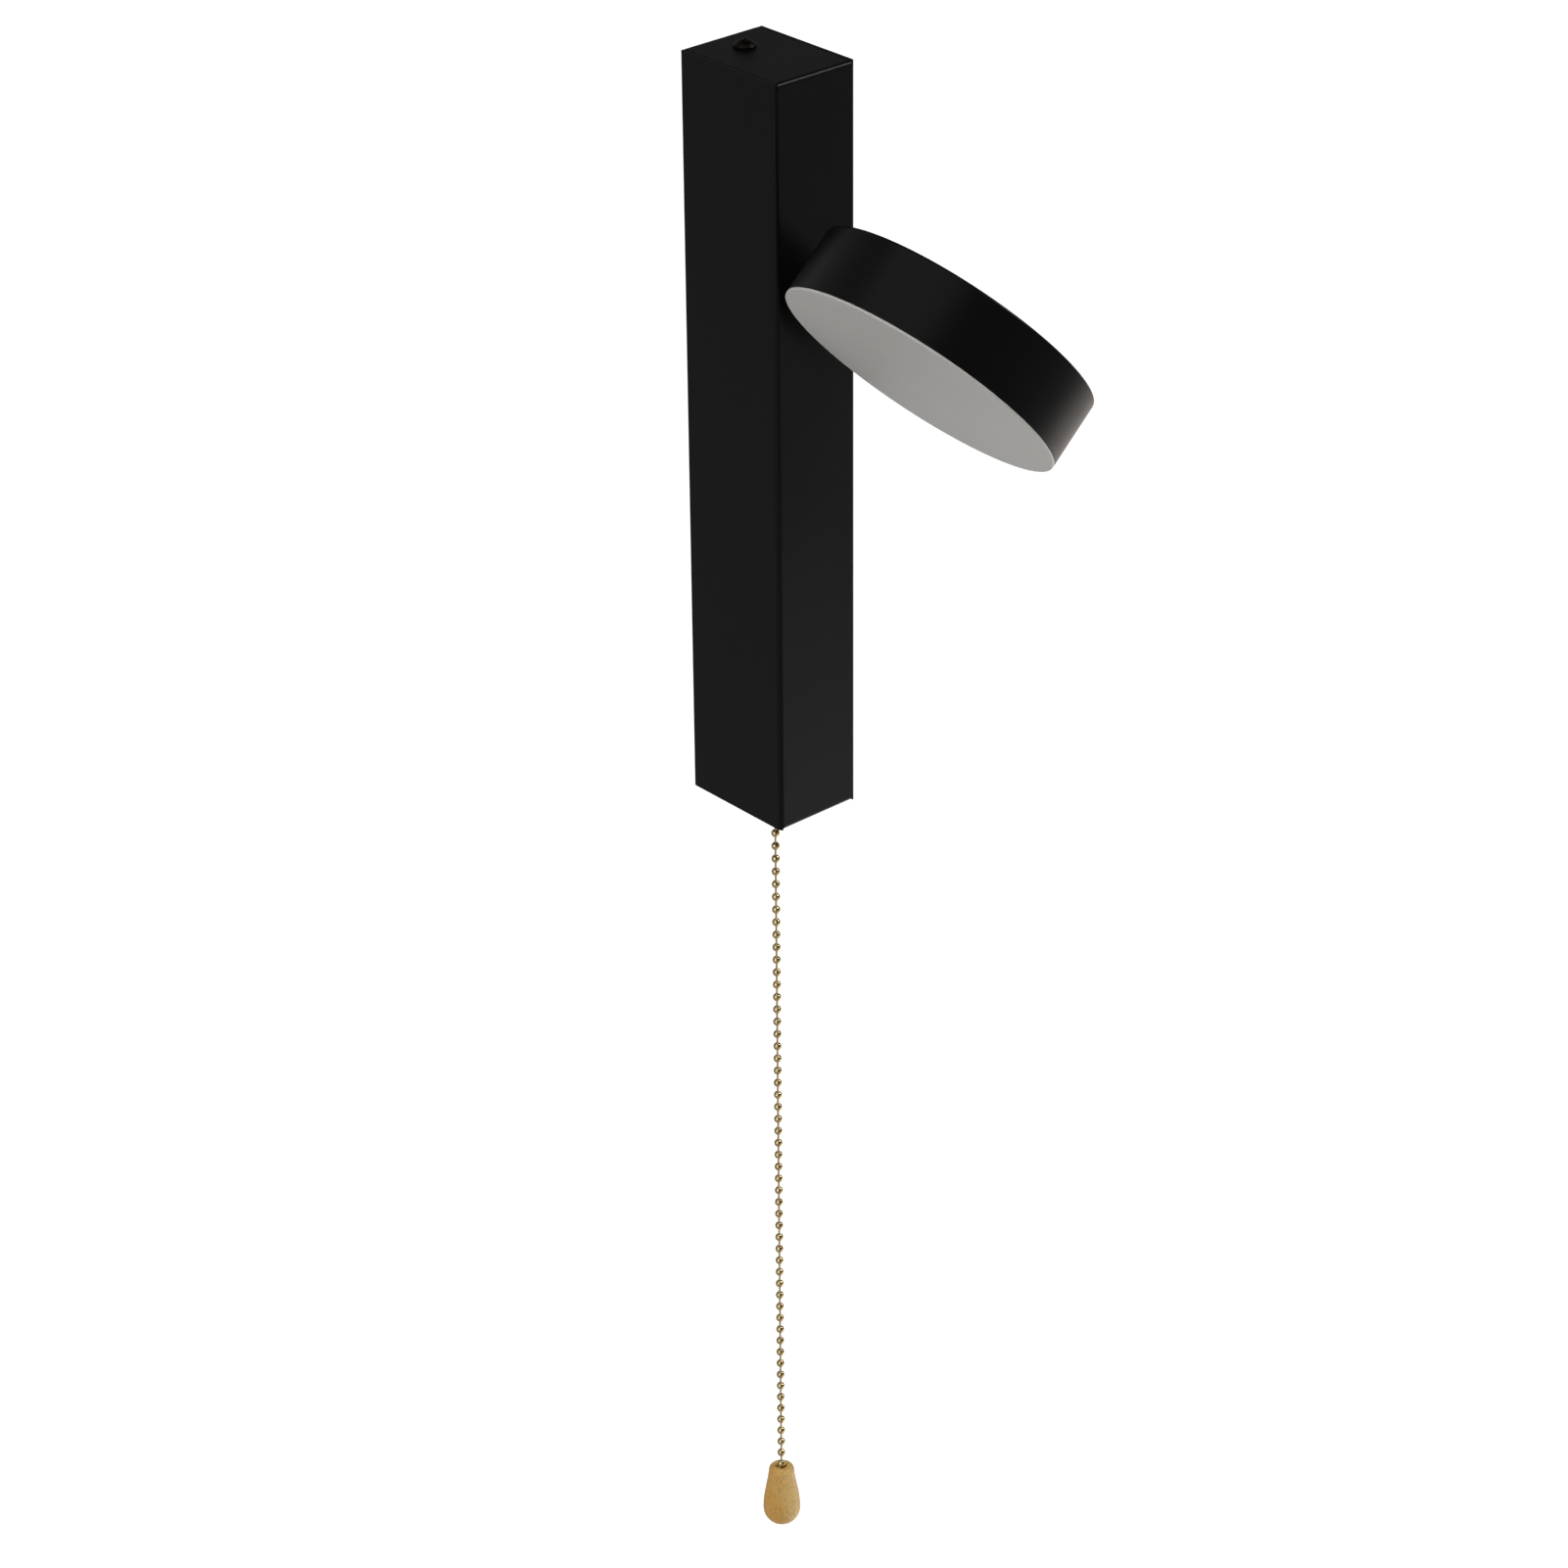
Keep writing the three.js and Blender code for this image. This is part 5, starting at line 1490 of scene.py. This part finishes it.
@dataclass(frozen=True)
class DiscHead:
    """The cup and its opal disc, which turn on the swivel's neck.

    Args:
        thickness: Thickness of the head.
        tilt: Degrees that the light is turned away from straight down.
        back_edge: Rounding of the closed edge.
        mouth_edge: Rounding of the open edge.
        rim: Wall at the mouth.
        ledge: Step that the disc rests on.
        ledge_depth: Depth of that step below the mouth.
        plate: Closed back.
        pad: Raised seat of the board.
        pad_radius: Radius of the seat.
        disc: Thickness of the opal disc, inside the rim.
        flange: Thickness of the disc's edge, which covers the rim.
        gap: Gap between the two.
        face_edge: Width of the flange's edge, outside the crowned face.
        crown: How far the disc's middle stands back from its edge.
    """

    thickness: float = 25.5
    tilt: float = 47.5
    back_edge: float = 0.9
    mouth_edge: float = 0.35
    rim: float = 1.5
    ledge: float = 1.0
    ledge_depth: float = 3.0
    plate: float = 2.0
    pad: float = 2.0
    pad_radius: float = 44.0
    disc: float = 2.4
    flange: float = 0.8
    gap: float = 0.3
    face_edge: float = 0.6
    crown: float = 0.25

    def matrix(self) -> Matrix:
        """From the head's own frame, where the light goes along -Z, to the row's.

        Returns:
            The matrix.
        """
        boxes = np.array([box_mm("head_shell"), box_mm("diffuser")])
        centre = Vector(((boxes[:, 0].min(0) + boxes[:, 1].max(0)) / 2).tolist())
        return Matrix.Translation(centre) @ Matrix.Rotation(math.radians(self.tilt), 4, "Y")

    def cup(self, radius: float) -> Surface:
        """The cup: a profile with rounded edges turned about the head's axis.

        Args:
            radius: Radius of the head.

        Returns:
            The cup in the head's own frame.
        """
        half = self.thickness / 2
        mouth = radius - self.rim
        inside = mouth - self.ledge
        front = -half + self.flange + self.gap / 2
        profile = rounded(
            [
                (0, half, 0),
                (radius, half, self.back_edge),
                (radius, front, self.mouth_edge),
                (mouth, front, self.mouth_edge),
                (mouth, -half + self.ledge_depth, 0.2),
                (inside, -half + self.ledge_depth, 0.2),
                (inside, half - self.plate, 0.8),
                (self.pad_radius, half - self.plate, 0.3),
                (self.pad_radius, half - self.plate - self.pad, 0.3),
                (0, half - self.plate - self.pad, 0),
            ],
            steps=5,
        )
        return revolved(profile, 256)

    def opal(self, radius: float) -> Surface:
        """The opal disc: nearly flat, its face z = z0 + crown (1 - (r / R)^2), its flange's edges rounded.

        Args:
            radius: Radius of the head.

        Returns:
            The disc in the head's own frame.
        """
        plug = radius - self.rim - self.gap
        face, face_radius = -self.thickness / 2, radius - self.face_edge
        r = np.linspace(0, face_radius, 24)
        crowned = np.stack([r, face + self.crown * (1 - (r / face_radius) ** 2)], axis=-1)
        side = rounded(
            [
                (face_radius, face, 0),
                (radius, face, 0.4),
                (radius, face + self.flange, 0.1),
                (plug, face + self.flange, 0.1),
                (plug, face + self.gap + self.disc, 0.3),
                (0, face + self.gap + self.disc, 0),
            ]
        )[1:]
        return revolved(np.vstack([crowned, side]), 256)

    def build(self, materials: Materials) -> None:
        """Makes the cup and the opal disc.

        Args:
            materials: The materials by their slots.
        """
        low, high = box_mm("head_shell")
        radius = float(high[1] - low[1]) / 2
        cup = make_piece("head_cup", self.cup(radius).placed(self.matrix()))
        even_shading(cup)
        settle(cup, "head", materials, "black_powder_coat", "head_shell")
        disc = make_piece("opal_disc", self.opal(radius).placed(self.matrix()))
        even_shading(disc)
        settle(disc, "head", materials, "opal_diffuser", "diffuser")


@dataclass(frozen=True)
class Swivel:
    """The neck's sleeve and the washers that it turns between, all about one axis along Y.

    Args:
        bore: Radius of the hole through the sleeve and the washers.
        drum_clearance: Gap between the sleeve's saddle and the head.
        edge: Rounding of the sleeve's edges.
        sides: Points round the sleeve.
    """

    bore: float = 5.3
    drum_clearance: float = 0.3
    edge: float = 0.5
    sides: int = 128

    def sleeve(self, tilt: float) -> Surface:
        """The sleeve between the housing and the head, its end cut to the head's drum.

        At angle f and radius r it ends at y = yh + sqrt(R^2 - t^2), with t = r cos(f + tilt) the distance
        across the drum, R the drum's radius with its clearance, and yh the drum's middle.

        Args:
            tilt: Degrees that the head is tilted.

        Returns:
            The sleeve in its place.
        """
        low, high = box_mm("neck_collar")
        head_low, head_high = box_mm("head_shell")
        drum = float(head_high[1] - head_low[1]) / 2 + self.drum_clearance
        middle = float(head_low[1] + head_high[1]) / 2
        radius, back = float(high[0]), float(high[1])
        centre_z = float(low[2] + high[2]) / 2
        angle = np.linspace(0, 2 * np.pi, self.sides, endpoint=False)

        def ring(r: float, inset: float, at_drum: bool) -> Array:
            """One ring of points, `inset` short of the sleeve's end at the drum or of the other one.

            Args:
                r: Radius of the ring.
                inset: How far short.
                at_drum: Whether at the drum.

            Returns:
                The ring's points.
            """
            across = r * np.cos(angle + math.radians(tilt))
            drum_end = middle + np.sqrt(drum**2 - across**2) + inset
            end = drum_end if at_drum else np.full(self.sides, back - inset)
            return np.stack([r * np.cos(angle), end, centre_z + r * np.sin(angle)], axis=-1)

        q = np.linspace(0, np.pi / 2, 5)
        rounding = self.edge * (1 - np.stack([np.sin(q), np.cos(q)], axis=-1))
        rings = [ring(self.bore, 0.0, False), ring(self.bore, 0.0, True)]
        rings += [ring(radius - inward, inset, True) for inward, inset in rounding]
        rings += [ring(radius - inward, inset, False) for inset, inward in rounding]
        return ring_shaped(np.stack(rings))

    def washer(self, node: str, axis: str, bore: float, edge: float = 0.15) -> Surface:
        """A flat ring in place of a packed one: a rectangle with rounded corners turned about an axis.

        Args:
            node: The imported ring.
            axis: "y" or "z", the axis that it lies across.
            bore: Radius of its hole.
            edge: Rounding of its corners.

        Returns:
            The ring in its place.
        """
        low, high = box_mm(node)
        centre = (low + high) / 2
        along = "xyz".index(axis)
        outer = float(high[(along + 1) % 3] - low[(along + 1) % 3]) / 2
        half = float(high[along] - low[along]) / 2
        profile = rounded(
            [(bore, -half, edge), (outer, -half, edge), (outer, half, edge), (bore, half, edge)], closed=True
        )
        turn = Matrix.Identity(4) if axis == "z" else Matrix.Rotation(math.pi / 2, 4, "X")
        return revolved(profile, 64, closed=True).placed(Matrix.Translation(centre) @ turn)

    def build(self, tilt: float, materials: Materials) -> None:
        """Makes the sleeve and the washers.

        Args:
            tilt: Degrees that the head is tilted.
            materials: The materials by their slots.
        """
        sleeve = make_piece("neck_sleeve", self.sleeve(tilt))
        even_shading(sleeve)
        settle(sleeve, "head", materials, "black_powder_coat", "neck_collar")
        for node, body, slot in (
            ("outer_friction_washer", "lamp", "dark_plastic"),
            ("inner_friction_washer", "lamp", "white_plastic"),
            ("spring_washer", "head", "spring_steel"),
        ):
            ring = make_piece(node.replace("washer", "ring"), self.washer(node, "y", self.bore))
            settle(ring, body, materials, slot, node)


# ---------------------------------------------------------------------------------------------
# pull switch
# ---------------------------------------------------------------------------------------------


@dataclass(frozen=True)
class PullSwitch:
    """What shows of the switch under the housing, and its return spring.

    Args:
        bore: Radius of the neck's bore.
        flare: Radius of the bell mouth at its lip.
        bell: Height of the bell mouth.
        radius: Radius of the neck over its thread.
        flange: Thickness of the neck's flange.
        pitch: Thread pitch.
        thread: Depth of the thread.
        nut_bore: Radius of the ring nut's hole.
        teeth: Teeth of its knurl.
        tooth: Depth of a tooth.
        turns: Turns of the return spring.
        wire: Radius of its wire.
        travel: The chain's stroke; not used.
    """

    bore: float = 2.4
    flare: float = 4.2
    bell: float = 2.6
    radius: float = 5.0
    flange: float = 1.2
    pitch: float = 0.75
    thread: float = 0.32
    nut_bore: float = 5.1
    teeth: int = 36
    tooth: float = 0.4
    turns: int = 7
    wire: float = 0.3
    travel: float = 10.0

    def neck(self) -> Surface:
        """The threaded tube with its flange and bell mouth.

        The thread adds thread / 2 (cos(2 pi z / pitch - f) - 1) to the radius, fading out at both ends.

        Returns:
            The neck in its place.
        """
        low, high = box_mm("switch_neck")
        top, bottom, outer = float(high[2]), float(low[2]), float(high[0])
        shoulder, sides = top - self.flange, 64
        q = np.linspace(0, math.pi / 2, 8)
        across = self.bore + (self.flare - self.bore) * (1 - np.cos(q))
        flared = np.stack([across, bottom + self.bell * (1 - np.sin(q))], axis=-1)
        start = bottom + 0.4
        rows = np.arange(start, shoulder - 0.2, self.pitch / 8)
        threaded = np.stack([np.full(len(rows), self.radius), rows], axis=-1)
        lip = rounded([(self.flare, bottom, 0), (self.radius, bottom, 0.3), (self.radius, start, 0)])[1:-1]
        collar = rounded(
            [
                (self.radius - 0.2, shoulder, 0),
                (outer, shoulder, 0.2),
                (outer, top, 0.2),
                (self.bore, top, 0),
            ]
        )
        profile = np.vstack([flared, lip, threaded, collar])
        angle = np.linspace(0, 2 * np.pi, sides, endpoint=False)
        first = len(flared) + len(lip)
        swell = np.zeros((len(profile), sides))
        fade = np.clip(np.minimum(rows - rows[0], rows[-1] - rows) / self.pitch, 0, 1)[:, None]
        wave = np.cos(2 * np.pi * rows[:, None] / self.pitch - angle) - 1
        swell[first : first + len(rows)] = self.thread / 2 * wave * fade
        centre = (low + high) / 2 * [1, 1, 0]
        return revolved(profile, sides, closed=True, swell=swell).copied_to(centre[None])

    def nut(self) -> Surface:
        """The ring nut, its rim knurled straight: the radius falls by up to a tooth between rounded teeth.

        Returns:
            The nut in its place.
        """
        low, high = box_mm("neck_ring_nut")
        outer, half = float(high[0]), float(high[2] - low[2]) / 2
        sides = self.teeth * 8
        profile = rounded(
            [
                (self.nut_bore, -half, 0.25),
                (outer, -half, 0.45),
                (outer, half, 0.45),
                (self.nut_bore, half, 0.25),
            ],
            steps=5,
            closed=True,
        )
        angle = np.linspace(0, 2 * np.pi, sides, endpoint=False)
        share = np.clip((profile[:, 0] - outer + 0.6) / 0.5, 0, 1)[:, None]
        swell = -self.tooth * share * np.abs(np.sin(self.teeth * angle / 2))[None] ** 1.5
        return revolved(profile, sides, closed=True, swell=swell).copied_to(((low + high) / 2)[None])

    def spring(self) -> Surface:
        """The return spring: a helix whose rise per turn is small at both ends, where the coils lie close.

        Returns:
            The spring in its place.
        """
        low, high = box_mm("return_spring")
        centre = (low + high) / 2
        coil = float(high[0] - low[0]) / 2 - self.wire
        share = np.linspace(0, 1, self.turns * 24 + 1)
        angle = 2 * np.pi * self.turns * share
        eased = share - 0.7 * np.sin(2 * np.pi * share) / (2 * np.pi)
        z = low[2] + self.wire + (high[2] - low[2] - 2 * self.wire) * eased
        path = np.stack([centre[0] + coil * np.cos(angle), centre[1] + coil * np.sin(angle), z], axis=-1)
        return swept(path, self.wire, 10, (0, 0, 1))

    def build(self, swivel: Swivel, materials: Materials) -> None:
        """Makes the neck, its ring nut and washer, and the spring at rest, which gets a mesh of its own; on
        the real switch it shortens as the chain is pulled.

        Args:
            swivel: Makes the washer.
            materials: The materials by their slots.
        """
        neck = make_piece("threaded_neck", self.neck())
        settle(neck, "lamp", materials, "brass", "switch_neck")
        nut = make_piece("knurled_ring", self.nut())
        settle(nut, "lamp", materials, "brass", "neck_ring_nut")
        washer = make_piece("neck_ring_washer", swivel.washer("neck_washer", "z", swivel.bore))
        settle(washer, "lamp", materials, "spring_steel", "neck_washer")
        spring = make_piece("coil_spring", self.spring(), Shading.SOFT)
        settle(spring, "lamp", materials, "spring_steel", "return_spring")
        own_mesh(spring)


# ---------------------------------------------------------------------------------------------
# carried-over nodes
# ---------------------------------------------------------------------------------------------


def dress_packed_nodes(materials: Materials) -> None:
    """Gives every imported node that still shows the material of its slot.

    Args:
        materials: The materials by their slots.
    """
    slots = {part["node"]: part["material_slot"] for part in frame["record"]["subparts"]}
    for node, piece in frame["nodes"].items():
        material = materials[slots[node]]
        if not piece.material_slots:
            piece.data.materials.append(material)
        for slot in piece.material_slots:
            slot.material = material
    log.info("%d packed nodes dressed", len(slots))


def main() -> None:
    """Builds the lamp: camera and chain first, then the sub-assemblies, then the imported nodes' finishes."""
    logging.basicConfig(level=logging.INFO, format="%(name)s: %(message)s")
    studio, head, swivel = Studio(), DiscHead(), Swivel()
    studio.stand_camera()
    materials = shelf()
    PullChain().build(materials)
    FoldedHousing().build(materials)
    WallBracket().build(materials)
    head.build(materials)
    swivel.build(head.tilt, materials)
    PullSwitch().build(swivel, materials)
    dress_packed_nodes(materials)
    studio.light()
    studio.lay_floor()


if __name__ == "__main__":
    main()
